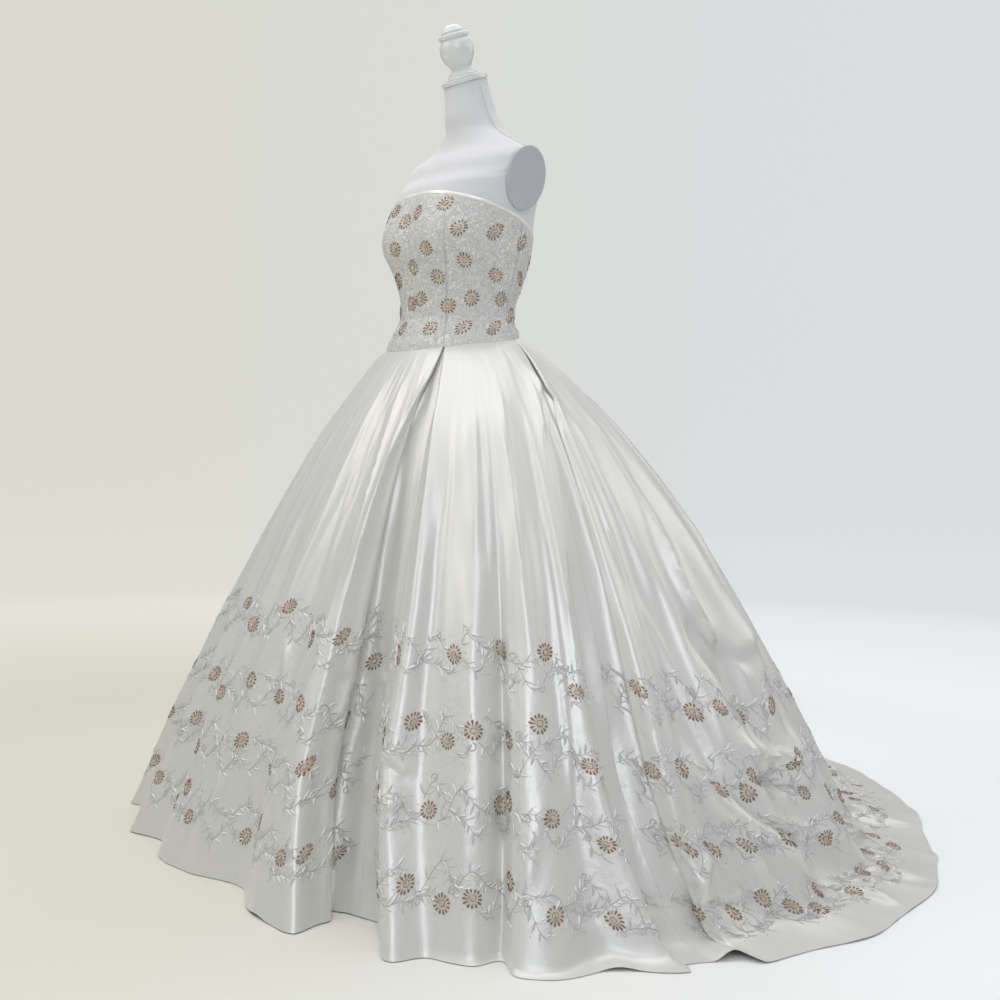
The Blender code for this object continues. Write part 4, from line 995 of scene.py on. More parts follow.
# %% Embroidered net finish
def make_net():
    finish = Finish("embroidered_net_cloth", (0.72, 0.71, 0.67))
    cloth = finish.cloth()
    mesh_cells = finish.cells(cloth, 900.0, 0.25)
    tufts = finish.cells(finish.stretch(cloth, (1.0, 0.62, 1.0)), 190.0, 1.0)
    scrolls = finish.noise(cloth, 95.0, 3.0, 0.6)
    beads = finish.cells(cloth, 260.0, 1.0)
    dots = 1 - beads.above(0.21, 0.05)
    thread = (1 - tufts.above(0.40, 0.10)) * scrolls.above(0.46, 0.06)
    drifts = finish.noise(cloth, 17.0, 2.0)
    ground = finish.mix(scrolls, (0.50, 0.50, 0.47), (0.74, 0.73, 0.70))
    worked = finish.mix(thread * drifts.above(0.44, 0.22), ground, (0.86, 0.85, 0.83))
    colour = finish.mix(dots * 0.6, worked, (0.27, 0.26, 0.245))
    fine = finish.bump(mesh_cells, 0.10 * MM, 0.5)
    raised = finish.bump(thread + dots * 0.5, 0.55 * MM, 0.8, fine)
    return finish.surface(Base_Color=colour, Roughness=0.62 - dots * 0.35, Metallic=dots * 0.4, Normal=raised)


net_cloth = make_net()

# %% [markdown]
# ## Bodice panels and binding
# Seven panels meet over the bust, at the sides, behind the arms and at the centre back. Cloth dips
# a little where it is sewn, and the boning beside a seam lifts it again, so both are in the shape.

# %% Bodice panels
BODICE_PANELS = (
    ("bodice_front", -PRINCESS_SEAM, PRINCESS_SEAM),
    ("bodice_side_front_left", PRINCESS_SEAM, SIDE_SEAM),
    ("bodice_side_back_left", SIDE_SEAM, BACK_SEAM),
    ("bodice_back_left", BACK_SEAM, 180.0),
    ("bodice_back_right", -180.0, -BACK_SEAM),
    ("bodice_side_back_right", -BACK_SEAM, -SIDE_SEAM),
    ("bodice_side_front_right", -SIDE_SEAM, -PRINCESS_SEAM),
)
BODICE_WALL = 1.6 * MM
BINDING_HEIGHT = 8.0 * MM
BODICE_ROWS = 84
BODICE_STEP = 1.6
SEAM_DIP = 0.9 * MM
SEAM_DIP_WIDTH = 1.6 * MM
BONE_RISE = 0.7 * MM
BONE_FROM_SEAM = 6.0 * MM
BONE_WIDTH = 3.2 * MM
PUCKER = 0.35 * MM
PUCKER_WIDTH = 9.0 * MM
WAIST_STRAIN = 0.8 * MM
STRAIN_HEIGHT = 1.10
STRAIN_SPREAD = 0.035
UNEVENNESS_LIMIT = 1.2 * MM
# Usual distance from the pole to the cloth, where a gap or a place is turned into an angle
SEAM_RADIUS = 0.14
BODICE_RADIUS = 0.15


def part_at_seams(angles):
    """Angles of one piece, drawn in by half a gap at both of its seams."""
    angles[0] += SEAM_GAP / 2 / SEAM_RADIUS
    angles[-1] -= SEAM_GAP / 2 / SEAM_RADIUS
    return angles


def bodice_net(first, last):
    """Net of points that follows the bodice between two seams, from the waist to the binding."""
    steps = max(2, math.ceil((last - first) / BODICE_STEP))
    angles = part_at_seams(np.radians(np.linspace(first, last, steps + 1)))
    share = np.linspace(1.0, 0.0, BODICE_ROWS)[None, :]
    angle = np.broadcast_to(angles[:, None], (len(angles), BODICE_ROWS))
    bottom = waist_height(angles) + SEAM_GAP
    top = neckline_height(angles) - BINDING_HEIGHT - SEAM_GAP
    height = bottom[:, None] * (1 - share) + top[:, None] * share
    from_seam = np.minimum(angle - angles[0], angles[-1] - angle) * BODICE_RADIUS
    dip = -SEAM_DIP * np.exp(-((from_seam / SEAM_DIP_WIDTH) ** 2))
    bone = BONE_RISE * np.exp(-(((from_seam - BONE_FROM_SEAM) / BONE_WIDTH) ** 2))
    puckers = PUCKER * np.sin(height * 310.0 + angle * 9.0) * np.exp(-from_seam / PUCKER_WIDTH)
    waist_strain = WAIST_STRAIN * np.sin(height * 150.0 + 3.0 * np.sin(angle * 5.0)) * np.exp(
        -((height - STRAIN_HEIGHT) / STRAIN_SPREAD) ** 2)
    unevenness = np.minimum(dip + bone + puckers + waist_strain, UNEVENNESS_LIMIT)
    reach = bodice_reach(angle, height) - BODICE_WALL / 2 + unevenness
    side, ahead = direction(angle)
    points = np.stack([reach * side, reach * ahead, height], -1)
    down = unit(np.gradient(points, axis=1))
    normals = unit(np.cross(down, np.gradient(points, axis=0)))
    return points, normals


bodice_panels = {}
for panel_name, first, last in BODICE_PANELS:
    points, normals = bodice_net(first, last)
    across, up = flat_cut(points)
    # The cuts lie side by side on one pattern, clear of its edge
    flat = (across + SEAM_RADIUS * math.radians((first + last) / 2) + 1.0, up)
    piece = sew_shell("net_" + panel_name, points, normals, BODICE_WALL, flat, net_cloth)
    bodice_panels[panel_name] = (piece, across, up)
print("bodice panels:", len(bodice_panels))

# %% [markdown]
# The binding is a folded bias strip, so its section is a flattened loop. It is lofted round the
# neckline with a rounded section, and is slightly uneven, as a strip sewn by hand is.

# %% Neckline binding
BINDING_STEPS = 300
BINDING_SECTION = 14
BINDING_HALF = 1.45 * MM
BINDING_SET_BACK = 1.0 * MM
BINDING_FOLD_RADIUS = 2.6 * MM


def make_binding():
    angles = part_at_seams(np.radians(np.linspace(-180.0, 180.0, BINDING_STEPS)))
    turn = np.arange(BINDING_SECTION) * 2 * math.pi / BINDING_SECTION
    rings = []
    for angle in angles:
        top = float(neckline_height(angle))
        # Two slow waves make the strip a little uneven
        uneven = 0.25 * MM * math.sin(angle * 37.0) + 0.2 * MM * math.sin(angle * 83.0)
        ring = []
        for t in turn:
            across = abs(math.cos(t)) ** 0.8 * math.copysign(1.0, math.cos(t))
            height = top - BINDING_HEIGHT / 2 + math.sin(t) * BINDING_HEIGHT / 2
            reach = float(bodice_reach(np.float64(angle), np.float64(height))) - BINDING_SET_BACK
            reach += across * (BINDING_HALF + uneven)
            side, ahead = direction(angle)
            ring.append((reach * side, reach * ahead, height))
        rings.append(ring)
    n = BINDING_SECTION
    piece = loft("binding_strip", rings, binding_satin, math.radians(50))
    length = np.repeat(angles * BODICE_RADIUS, n) + 1.0
    set_pattern(piece, length, np.tile(turn * BINDING_FOLD_RADIUS, BINDING_STEPS))
    box = bmesh.new()
    box.from_mesh(piece.data)
    bmesh.ops.recalc_face_normals(box, faces=box.faces)
    box.to_mesh(piece.data)
    box.free()
    return piece


binding_strip = make_binding()
print("binding faces:", len(binding_strip.data.polygons))

# %% [markdown]
# ## Embroidery laid out flat, then wrapped
# An embroiderer works on flat cloth in a frame. The same order works here: flowers, leaves and
# beads are laid out on the flat cut, and a Geometry Nodes group then wraps them on the cloth.
# Sample UV Surface finds, for a place on the flat cut, the point and the normal of the sewn cloth.

# %% The wrap group
def new_tree(name, inputs):
    """Geometry Nodes group with named inputs. Returns the group and its input and output nodes."""
    tree = bpy.data.node_groups.new(name, "GeometryNodeTree")
    tree.interface.new_socket(name="Geometry", in_out="INPUT", socket_type="NodeSocketGeometry")
    for label, kind, default in inputs:
        socket = tree.interface.new_socket(name=label, in_out="INPUT", socket_type=kind)
        if default is not None:
            socket.default_value = default
    tree.interface.new_socket(name="Geometry", in_out="OUTPUT", socket_type="NodeSocketGeometry")
    return tree, tree.nodes.new("NodeGroupInput"), tree.nodes.new("NodeGroupOutput")


def named_attribute(tree, name, kind="FLOAT"):
    return add_node(tree, "GeometryNodeInputNamedAttribute", {"data_type": kind}, {"Name": name}).outputs[0]


def make_wrap_group():
    tree, given, result = new_tree("wrap_on_cloth", (("Cloth", "NodeSocketObject", None),
                                                     ("Lift", "NodeSocketFloat", 0.0)))
    cloth = add_node(tree, "GeometryNodeObjectInfo", {}, {"Object": given.outputs["Cloth"]})
    place = add_node(tree, "GeometryNodeInputPosition")
    parts = add_node(tree, "ShaderNodeSeparateXYZ", {}, {0: place.outputs[0]})
    flat = add_node(tree, "ShaderNodeCombineXYZ", {}, {0: parts.outputs[0], 1: parts.outputs[1]})
    where = add_node(tree, "ShaderNodeVectorMath", {"operation": "SCALE"},
                     {0: flat.outputs[0], "Scale": 1.0 / UV_METRES})
    pattern = named_attribute(tree, "pattern", "FLOAT_VECTOR")
    normal = named_attribute(tree, "cloth_normal", "FLOAT_VECTOR")
    samples = [add_node(tree, "GeometryNodeSampleUVSurface", {"data_type": "FLOAT_VECTOR"},
                        {0: cloth.outputs["Geometry"], 1: value, 2: pattern, 3: where.outputs[0]})
               for value in (place.outputs[0], normal)]
    height = add_node(tree, "ShaderNodeMath", {"operation": "ADD"}, {0: parts.outputs[2], 1: given.outputs["Lift"]})
    raised = add_node(tree, "ShaderNodeVectorMath", {"operation": "SCALE"},
                      {0: samples[1].outputs[0], "Scale": height.outputs[0]})
    target = add_node(tree, "ShaderNodeVectorMath", {"operation": "ADD"},
                      {0: samples[0].outputs[0], 1: raised.outputs[0]})
    outside = add_node(tree, "FunctionNodeBooleanMath", {"operation": "NOT"}, {0: samples[0].outputs[1]})
    kept = add_node(tree, "GeometryNodeDeleteGeometry", {"domain": "POINT"},
                    {"Geometry": given.outputs["Geometry"], "Selection": outside.outputs[0]})
    moved = add_node(tree, "GeometryNodeSetPosition", {}, {"Geometry": kept.outputs[0], "Position": target.outputs[0]})
    tree.links.new(moved.outputs[0], result.inputs[0])
    return tree


wrap_group = make_wrap_group()

# %% [markdown]
# Two trees use the group. One sets a small motif on each point of a layout, turned and sized by
# the point's own attributes. The other makes a cord of each line of a layout.

# %% The motif tree and the cord tree
STEM_RADIUS = 0.6 * MM


def paint_and_return(tree, given, result, shape):
    """Make the shape real, paint it with the thread that is given, and let it out of the tree."""
    real = add_node(tree, "GeometryNodeRealizeInstances", {}, {0: shape})
    painted = add_node(tree, "GeometryNodeSetMaterial", {},
                       {"Geometry": real.outputs[0], "Material": given.outputs["Thread"]})
    tree.links.new(painted.outputs[0], result.inputs[0])
    return tree


def wrapped(tree, given, shape):
    group = add_node(tree, "GeometryNodeGroup", {"node_tree": wrap_group}, {
        "Geometry": shape, "Cloth": given.outputs["Cloth"], "Lift": given.outputs["Lift"]})
    return group.outputs[0]


def cord_along(tree, given, sides, caps=False):
    """Cord of the radius that is given, along the lines that are given."""
    line = add_node(tree, "GeometryNodeMeshToCurve", {}, {0: given.outputs["Geometry"]})
    section = add_node(tree, "GeometryNodeCurvePrimitiveCircle", {},
                       {"Resolution": sides, "Radius": given.outputs["Radius"]})
    cord = add_node(tree, "GeometryNodeCurveToMesh", {},
                    {"Curve": line.outputs[0], "Profile Curve": section.outputs[0], "Fill Caps": caps})
    return cord.outputs[0]


def make_motif_tree():
    tree, given, result = new_tree("motifs_on_cloth", (
        ("Cloth", "NodeSocketObject", None), ("Motif", "NodeSocketObject", None),
        ("Lift", "NodeSocketFloat", 0.0), ("Thread", "NodeSocketMaterial", None)))
    motif = add_node(tree, "GeometryNodeObjectInfo", {}, {"Object": given.outputs["Motif"]})
    euler = add_node(tree, "ShaderNodeCombineXYZ", {}, {2: named_attribute(tree, "turn")})
    rotation = add_node(tree, "FunctionNodeEulerToRotation", {}, {0: euler.outputs[0]})
    copies = add_node(tree, "GeometryNodeInstanceOnPoints", {}, {
        "Points": given.outputs["Geometry"], "Instance": motif.outputs["Geometry"],
        "Rotation": rotation.outputs[0], "Scale": named_attribute(tree, "size")})
    real = add_node(tree, "GeometryNodeRealizeInstances", {}, {0: copies.outputs[0]})
    return paint_and_return(tree, given, result, wrapped(tree, given, real.outputs[0]))


def make_cord_tree():
    tree, given, result = new_tree("cords_on_cloth", (
        ("Cloth", "NodeSocketObject", None), ("Radius", "NodeSocketFloat", STEM_RADIUS),
        ("Lift", "NodeSocketFloat", 0.0), ("Thread", "NodeSocketMaterial", None)))
    return paint_and_return(tree, given, result, wrapped(tree, given, cord_along(tree, given, 4)))


motif_tree = make_motif_tree()
cord_tree = make_cord_tree()
print("node groups:", wrap_group.name, motif_tree.name, cord_tree.name)


# %% Run a tree and keep its result as a plain mesh
def run_tree(name, layout, tree, values):
    """Give a layout the tree's modifier, set its inputs, and keep the result as a new piece."""
    modifier = layout.modifiers.new("laid", "NODES")
    modifier.node_group = tree
    for item in tree.interface.items_tree:
        if item.in_out == "INPUT" and item.name in values:
            modifier[item.identifier] = values[item.name]
    layout.update_tag()
    bpy.context.view_layer.update()
    evaluated = layout.evaluated_get(bpy.context.evaluated_depsgraph_get())
    mesh = bpy.data.meshes.new_from_object(evaluated)
    mesh.name = name
    made = link_object(name, mesh)
    layout.modifiers.clear()
    mesh.shade_smooth()
    bpy.data.objects.remove(layout)
    print("%-26s %7d faces" % (name, len(mesh.polygons)))
    return made


def point_layout(places):
    """Layout of points: across, up, turn in radians, size."""
    places = np.asarray(places, float)
    mesh = bpy.data.meshes.new("layout")
    flat = np.zeros((len(places), 3))
    flat[:, :2] = places[:, :2]
    mesh.from_pydata(flat.tolist(), [], [])
    for label, column_index in (("turn", 2), ("size", 3)):
        attribute = mesh.attributes.new(label, "FLOAT", "POINT")
        attribute.data.foreach_set("value", places[:, column_index].astype(np.float32))
    return link_object("layout", mesh)


def line_layout(lines):
    """Layout of lines, each a list of places on the flat cut or of points in space."""
    vertices, edges = [], []
    for line in lines:
        start = len(vertices)
        vertices.extend((*place, 0.0)[:3] for place in line)
        edges.extend((start + i, start + i + 1) for i in range(len(line) - 1))
    mesh = bpy.data.meshes.new("layout")
    mesh.from_pydata(vertices, edges, [])
    return link_object("layout", mesh)


def pattern_cloth(name, parts):
    """The sewn cloth as one open net, with its flat cut and its normals, for the wrap group."""
    vertices, faces, normals, across, up = [], [], [], [], []
    start = 0
    for points, point_normals, flat in parts:
        faces.append(grid_faces(points.shape[0], points.shape[1], start))
        start += points.shape[0] * points.shape[1]
        vertices.append(points.reshape(-1, 3))
        normals.append(point_normals.reshape(-1, 3))
        across.append(flat[0].reshape(-1))
        up.append(flat[1].reshape(-1))
    cloth = new_piece(name, np.concatenate(vertices), np.concatenate(faces))
    set_pattern(cloth, np.concatenate(across), np.concatenate(up))
    attribute = cloth.data.attributes.new("cloth_normal", "FLOAT_VECTOR", "POINT")
    attribute.data.foreach_set("vector", np.concatenate(normals).astype(np.float32).ravel())
    return cloth


skirt_cloth = pattern_cloth("skirt_pattern", pattern_parts)

# %% [markdown]
# ## Motifs
# A flower is a wheel of short padded bars in copper thread with a small spiral of pale thread in
# its middle. Leaves are almond shapes with a raised rib, and beads are little faceted balls.
# Each has only a few faces, because it is repeated hundreds of times.

# %% Motif meshes
FLOWER_BARS = 13
FLOWER_INNER = 9.6 * MM
FLOWER_OUTER = 18.8 * MM
FLOWER_GROUND = 16.2 * MM
# Share of a bar's length, its half width in mm and its rise in mm
BAR_SECTIONS = ((0.0, 0.8, 0.8), (0.35, 1.35, 1.9), (0.75, 1.9, 1.8), (1.0, 1.3, 0.3))
# Length along a leaf and its half width there, in mm
LEAF_OUTLINE = ((0.0, 0.0), (3.4, 1.7), (8.0, 2.2), (12.5, 1.2), (16.0, 0.0))
LEAF_RIB = 1.3 * MM
BEAD_RADIUS = 1.15 * MM
BEAD_LIFT = 0.7 * MM


def flower_ground():
    """Low dome of pale stitches with a scalloped edge."""
    vertices, faces = [(0.0, 0.0, 0.9 * MM)], []
    points = 2 * FLOWER_BARS
    for share, lift in ((0.55, 0.75), (1.0, 0.1)):
        for point in range(points):
            turn = 2 * math.pi * point / points
            radius = FLOWER_GROUND * share * (1.0 + (0.07 if point % 2 else -0.05) * share)
            vertices.append((radius * math.cos(turn), radius * math.sin(turn), lift * MM))
    for point in range(points):
        after = (point + 1) % points
        faces.append((0, 1 + point, 1 + after))
        faces.append((1 + point, 1 + points + point, 1 + points + after, 1 + after))
    return new_piece("motif_ground", vertices, faces)


def thread_spiral(turns, first, last, half, steps, lift=1.1):
    """Flat spiral of thread with a raised middle."""
    vertices, faces = [], []
    for step in range(steps + 1):
        share = step / steps
        angle = turns * 2 * math.pi * share
        radius = first + (last - first) * share
        for side, rise in ((-1, 0.1), (0, 1.0), (1, 0.1)):
            reach = radius + side * half
            vertices.append((reach * math.cos(angle), reach * math.sin(angle), rise * lift * MM))
        if step:
            a = (step - 1) * 3
            faces += [(a + 3, a + 4, a + 1, a), (a + 4, a + 5, a + 2, a + 1)]
    return vertices, faces


def flower_bars():
    """Wheel of padded bars, a little uneven, and a curl of the same thread inside them."""
    vertices, faces = thread_spiral(1.2, 3.6 * MM, 8.4 * MM, 0.5 * MM, 16, 2.2)
    shapes = np.random.default_rng(11)
    for bar in range(FLOWER_BARS):
        turn = 2 * math.pi * bar / FLOWER_BARS + shapes.uniform(-0.06, 0.06)
        inner = FLOWER_INNER * shapes.uniform(0.88, 1.16)
        outer = FLOWER_OUTER * shapes.uniform(0.88, 1.03)
        start = len(vertices)
        for share, half, rise in BAR_SECTIONS:
            along = inner + (outer - inner) * share
            for side, lift in ((-1, 0.3), (0, 1.0), (1, 0.3)):
                x, y = along, side * half * MM
                vertices.append((x * math.cos(turn) - y * math.sin(turn), x * math.sin(turn) + y * math.cos(turn),
                                 rise * lift * MM))
        for i in range(3):
            for j in range(2):
                a = start + i * 3 + j
                faces.append((a, a + 3, a + 4, a + 1))
    return new_piece("motif_bars", vertices, faces)


def flower_heart():
    """Pale curl on top of the flower's middle."""
    vertices, faces = thread_spiral(1.2, 1.2 * MM, 5.2 * MM, 0.8 * MM, 16, 2.9)
    return new_piece("motif_heart", [(-x, -y, z) for x, y, z in vertices], faces)


def leaf():
    """Almond leaf with a raised rib, its foot at the origin."""
    vertices, faces = [], []
    for along, half in LEAF_OUTLINE:
        lift = LEAF_RIB if half else 0.2 * MM
        vertices += [(along * MM, -half * MM, 0.1 * MM), (along * MM, 0.0, lift), (along * MM, half * MM, 0.1 * MM)]
    for a in range(0, 3 * len(LEAF_OUTLINE) - 3, 3):
        faces += [(a, a + 3, a + 4, a + 1), (a + 1, a + 4, a + 5, a + 2)]
    return new_piece("motif_leaf", vertices, faces)


def bead():
    """Bead of eight facets, set a little into the cloth."""
    made = bmesh.new()
    bmesh.ops.create_uvsphere(made, u_segments=4, v_segments=2, radius=BEAD_RADIUS)
    bmesh.ops.translate(made, verts=made.verts, vec=(0.0, 0.0, BEAD_LIFT))
    mesh = bpy.data.meshes.new("motif_bead")
    made.to_mesh(mesh)
    made.free()
    return link_object("motif_bead", mesh)


def curl():
    vertices, faces = thread_spiral(1.1, 1.5 * MM, 8.0 * MM, 0.6 * MM, 14)
    return new_piece("motif_curl", vertices, faces)


motifs = {"ground": flower_ground(), "bars": flower_bars(), "heart": flower_heart(), "leaf": leaf(),
          "bead": bead(), "curl": curl()}
for kind, item in motifs.items():
    print("%-6s %3d faces" % (kind, len(item.data.polygons)))


# %% Thread and bead finishes
def make_thread(name, light, deep, roughness, metal):
    """Stitched thread: fine parallel ridges, with a sheen that the stitches break up."""
    finish = Finish(name, light)
    place = finish.place()
    strands = finish.noise(finish.stretch(place, (1.0, 1.0, 0.4)), 1500.0, 1.0)
    patches = finish.noise(place, 160.0, 2.0)
    colour = finish.mix(strands * 0.5 + patches * 0.5, deep, light)
    return finish.surface(Base_Color=colour, Roughness=strands * 0.2 + (roughness - 0.1), Metallic=metal,
                          Normal=finish.bump(strands, 0.25 * MM, 0.8))


def make_bead_finish():
    finish = Finish("bead", (0.85, 0.86, 0.88))
    patches = finish.noise(finish.place(), 210.0, 1.0)
    colour = finish.mix(patches.above(0.42, 0.10), (0.55, 0.55, 0.55), (0.98, 0.98, 0.97))
    return finish.surface(Base_Color=colour, Roughness=patches * 0.12 + 0.04, Metallic=0.7)


copper_thread = make_thread("copper_thread", (0.37, 0.26, 0.165), (0.12, 0.08, 0.05), 0.34, 0.5)
pale_thread = make_thread("pale_thread", (0.78, 0.71, 0.63), (0.55, 0.46, 0.38), 0.42, 0.25)
rose_thread = make_thread("rose_thread", (0.90, 0.80, 0.72), (0.74, 0.60, 0.50), 0.45, 0.1)
silver_thread = make_thread("silver_thread", (0.84, 0.84, 0.83), (0.50, 0.50, 0.48), 0.34, 0.35)
grey_thread = make_thread("grey_thread", (0.62, 0.62, 0.59), (0.42, 0.42, 0.395), 0.42, 0.3)
bead_finish = make_bead_finish()

# %% [markdown]
# ## Where the flowers go
# Four bands of flowers run round the skirt, each at its own height above the hem, so they follow
# the hem up and down over the folds. Flowers stand in ones, twos and threes along a band. The
# table gives those of the wearer's left as metres across from a panel's middle and up from the
# hem; the wearer's right has the same, mirrored and moved a little.

# %% Flower tables
BAND_HEIGHTS = (0.115, 0.245, 0.370, 0.515)
FLOWERS = {
    "skirt_front": (
        (-0.47, 0.10), (-0.34, 0.13), (-0.25, 0.09), (-0.15, 0.15), (-0.10, 0.10), (0.07, 0.09), (0.14, 0.14),
        (0.28, 0.12), (0.33, 0.13), (0.46, 0.10), (-0.40, 0.24), (-0.28, 0.27), (-0.17, 0.23), (-0.01, 0.27),
        (0.10, 0.23), (0.245, 0.29), (0.34, 0.23), (0.43, 0.27), (-0.37, 0.36), (-0.26, 0.37), (-0.14, 0.35),
        (-0.04, 0.39), (0.05, 0.36), (0.17, 0.39), (0.31, 0.35), (-0.33, 0.49), (-0.22, 0.53), (-0.11, 0.50),
        (0.005, 0.54), (0.11, 0.50), (0.21, 0.53), (0.33, 0.46)),
    "skirt_side_left": (
        (-0.42, 0.12), (-0.30, 0.08), (-0.18, 0.12), (-0.11, 0.09), (-0.055, 0.105), (0.04, 0.145), (0.13, 0.105),
        (0.25, 0.10), (-0.40, 0.24), (-0.28, 0.26), (-0.16, 0.24), (-0.005, 0.255), (0.032, 0.275), (0.13, 0.26),
        (0.24, 0.235), (-0.36, 0.38), (-0.27, 0.36), (-0.195, 0.40), (-0.12, 0.36), (-0.065, 0.38), (0.03, 0.38),
        (0.095, 0.42), (0.20, 0.37), (-0.31, 0.50), (-0.24, 0.51), (-0.105, 0.515), (0.005, 0.53), (0.105, 0.55),
        (0.17, 0.50)),
    "skirt_side_back_left": (
        (-0.43, 0.12), (-0.345, 0.12), (-0.26, 0.14), (-0.215, 0.115), (-0.17, 0.10), (-0.125, 0.135), (-0.03, 0.10),
        (0.07, 0.13), (0.14, 0.11), (0.22, 0.14), (0.315, 0.09), (0.42, 0.12), (-0.40, 0.245), (-0.335, 0.237),
        (-0.255, 0.236), (-0.16, 0.236), (-0.06, 0.25), (0.045, 0.225), (0.11, 0.245), (0.22, 0.23), (0.33, 0.26),
        (0.44, 0.24), (-0.375, 0.37), (-0.30, 0.38), (-0.235, 0.343), (-0.18, 0.336), (-0.145, 0.365), (0.05, 0.395),
        (0.06, 0.32), (0.14, 0.30), (0.25, 0.37), (0.38, 0.39), (-0.335, 0.52), (-0.22, 0.486), (-0.16, 0.493),
        (-0.04, 0.52), (0.06, 0.50), (0.18, 0.52), (0.31, 0.49), (0.40, 0.53)),
    "skirt_back_left": (
        (-0.31, 0.08), (-0.18, 0.11), (-0.09, 0.14), (-0.035, 0.15), (0.06, 0.09), (0.15, 0.13), (0.25, 0.10),
        (0.35, 0.13), (-0.28, 0.25), (-0.20, 0.22), (-0.10, 0.25), (0.0, 0.22), (0.10, 0.26), (0.21, 0.23),
        (0.31, 0.26), (-0.25, 0.38), (-0.15, 0.35), (-0.03, 0.39), (0.09, 0.36), (0.20, 0.39), (0.29, 0.35),
        (-0.21, 0.50), (-0.10, 0.53), (0.03, 0.50), (0.14, 0.53), (0.25, 0.50)),
}
for side_name in ("skirt_side", "skirt_side_back", "skirt_back"):
    FLOWERS[side_name + "_right"] = tuple(
        (-across + 0.012 * math.sin(9.0 * up + index), up + 0.008 * math.sin(5.0 * index))
        for index, (across, up) in enumerate(FLOWERS[side_name + "_left"]))
SIDE_MARGIN = 0.024


def panel_edges(panel_name, height):
    """Where a panel's two edges lie on its flat cut, at a height above the hem."""
    _, across, up = skirt_panels[panel_name]
    row = int(np.argmin(np.abs(up[len(up) // 2] - height)))
    return across[0, row] + SIDE_MARGIN, across[-1, row] - SIDE_MARGIN


flowers = []
for panel_name, table in FLOWERS.items():
    for index, (across, up) in enumerate(table):
        low, high = panel_edges(panel_name, up)
        if low < across < high:
            size = 0.94 + 0.07 * math.sin(3.1 * index)
            flowers.append((across + pattern_place[panel_name], up, 0.7 * index, size))
flowers = np.array(flowers)
print("flowers on the skirt:", len(flowers))

# %% [markdown]
# ## Sprays of leaves
# Between the flowers run two light stems that cross and part, with leaves to both sides, beads at
# their tips and small curls. They are walked along each band with a fixed seed, and leave the
# flowers free.

# %% Stems, leaves and beads of the skirt
STEM_STEP = 4.0 * MM
LEAF_STEP = 8.5 * MM
FLOWER_CLEAR = 20.5 * MM
LONG_WAVE = 0.155
SHORT_WAVE = 0.067
# Phase and reach of the two stems of a band
STEM_WAVES = ((0.0, 0.026), (2.6, 0.034))
BARE_CHANCE = 0.16
BEAD_CHANCE = 0.5
LEAF_TURN = (0.45, 1.15)
LEAF_SIZE = (0.85, 1.45)
LEAF_REACH = 18.5 * MM
BEAD_SIZE = (0.8, 1.25)
CURL_SIZE = (0.8, 1.2)
LEAVES_TO_A_CURL = 7
WREATH_LEAVES = 6
WREATH_RADIUS = 19.5 * MM
WREATH_BEAD_RADIUS = 5.0 * MM


def stem_height(across, band, phase, reach):
    return (BAND_HEIGHTS[band] + reach * np.sin(across * 2 * math.pi / LONG_WAVE + phase)
            + 0.35 * reach * np.sin(across * 2 * math.pi / SHORT_WAVE + 2.1 * phase))


def clear_of(points, centres, distance):
    gaps = np.hypot(points[:, None, 0] - centres[None, :, 0], points[:, None, 1] - centres[None, :, 1])
    return gaps.min(axis=1) > distance


def free_runs(line):
    """Stretches of a stem between the flowers, each of three points or more."""
    runs, run = [], []
    for point, is_free in (*zip(line, clear_of(line, flowers, FLOWER_CLEAR)), (None, False)):
        if is_free:
            run.append(tuple(point))
            continue
        if len(run) > 2:
            runs.append(run)
        run = []
    return runs


def dress_band(panel_name, band, draw):
    """Stems, leaves, beads and curls of one band on one panel."""
    stems, leaves, beads, curls = [], [], [], []
    centre = pattern_place[panel_name]
    low, high = panel_edges(panel_name, BAND_HEIGHTS[band])
    across = np.arange(low, high, STEM_STEP)
    if len(across) < 4:
        return stems, leaves, beads, curls
    for phase, reach in STEM_WAVES:
        phase = phase + 1.3 * band + 0.9 * PANEL_NAMES.index(panel_name)
        stems += free_runs(np.stack([across + centre, stem_height(across, band, phase, reach)], -1))
        for index, place in enumerate(np.arange(low + 0.004, high - 0.004, LEAF_STEP)):
            up = stem_height(place, band, phase, reach)
            slope = math.atan2(stem_height(place + 0.001, band, phase, reach) - up, 0.001)
            for side in (-1, 1):
                if draw.random() < BARE_CHANCE:
                    continue
                turn = slope + side * draw.uniform(*LEAF_TURN)
                size = draw.uniform(*LEAF_SIZE)
                leaves.append((place + centre, up, turn, size))
                if draw.random() < BEAD_CHANCE:
                    tip = LEAF_REACH * size
                    beads.append((place + centre + tip * math.cos(turn), up + tip * math.sin(turn), 0.0,
                                  draw.uniform(*BEAD_SIZE)))
            if index % LEAVES_TO_A_CURL == 3:
                curls.append((place + centre + draw.uniform(-0.006, 0.006), up + draw.uniform(-0.014, 0.014),
                              draw.uniform(0.0, 6.0), draw.uniform(*CURL_SIZE)))
    return stems, leaves, beads, curls


def wreath(across, up, turn, size, draw):
    """Small leaves and beads that stand round one flower."""
    leaves, beads = [], []
    for index in range(WREATH_LEAVES):
        angle = turn + index * 2 * math.pi / WREATH_LEAVES + draw.uniform(-0.3, 0.3)
        reach = WREATH_RADIUS * size
        leaves.append((across + reach * math.cos(angle), up + reach * math.sin(angle),
                       angle + draw.uniform(-0.5, 0.5), draw.uniform(0.45, 0.7)))
        beads.append((across + WREATH_BEAD_RADIUS * math.cos(angle), up + WREATH_BEAD_RADIUS * math.sin(angle),
                      0.0, 0.75))
    return leaves, beads


def keep_clear(places):
    places = np.array(places)
    return places[clear_of(places, flowers, FLOWER_CLEAR)]


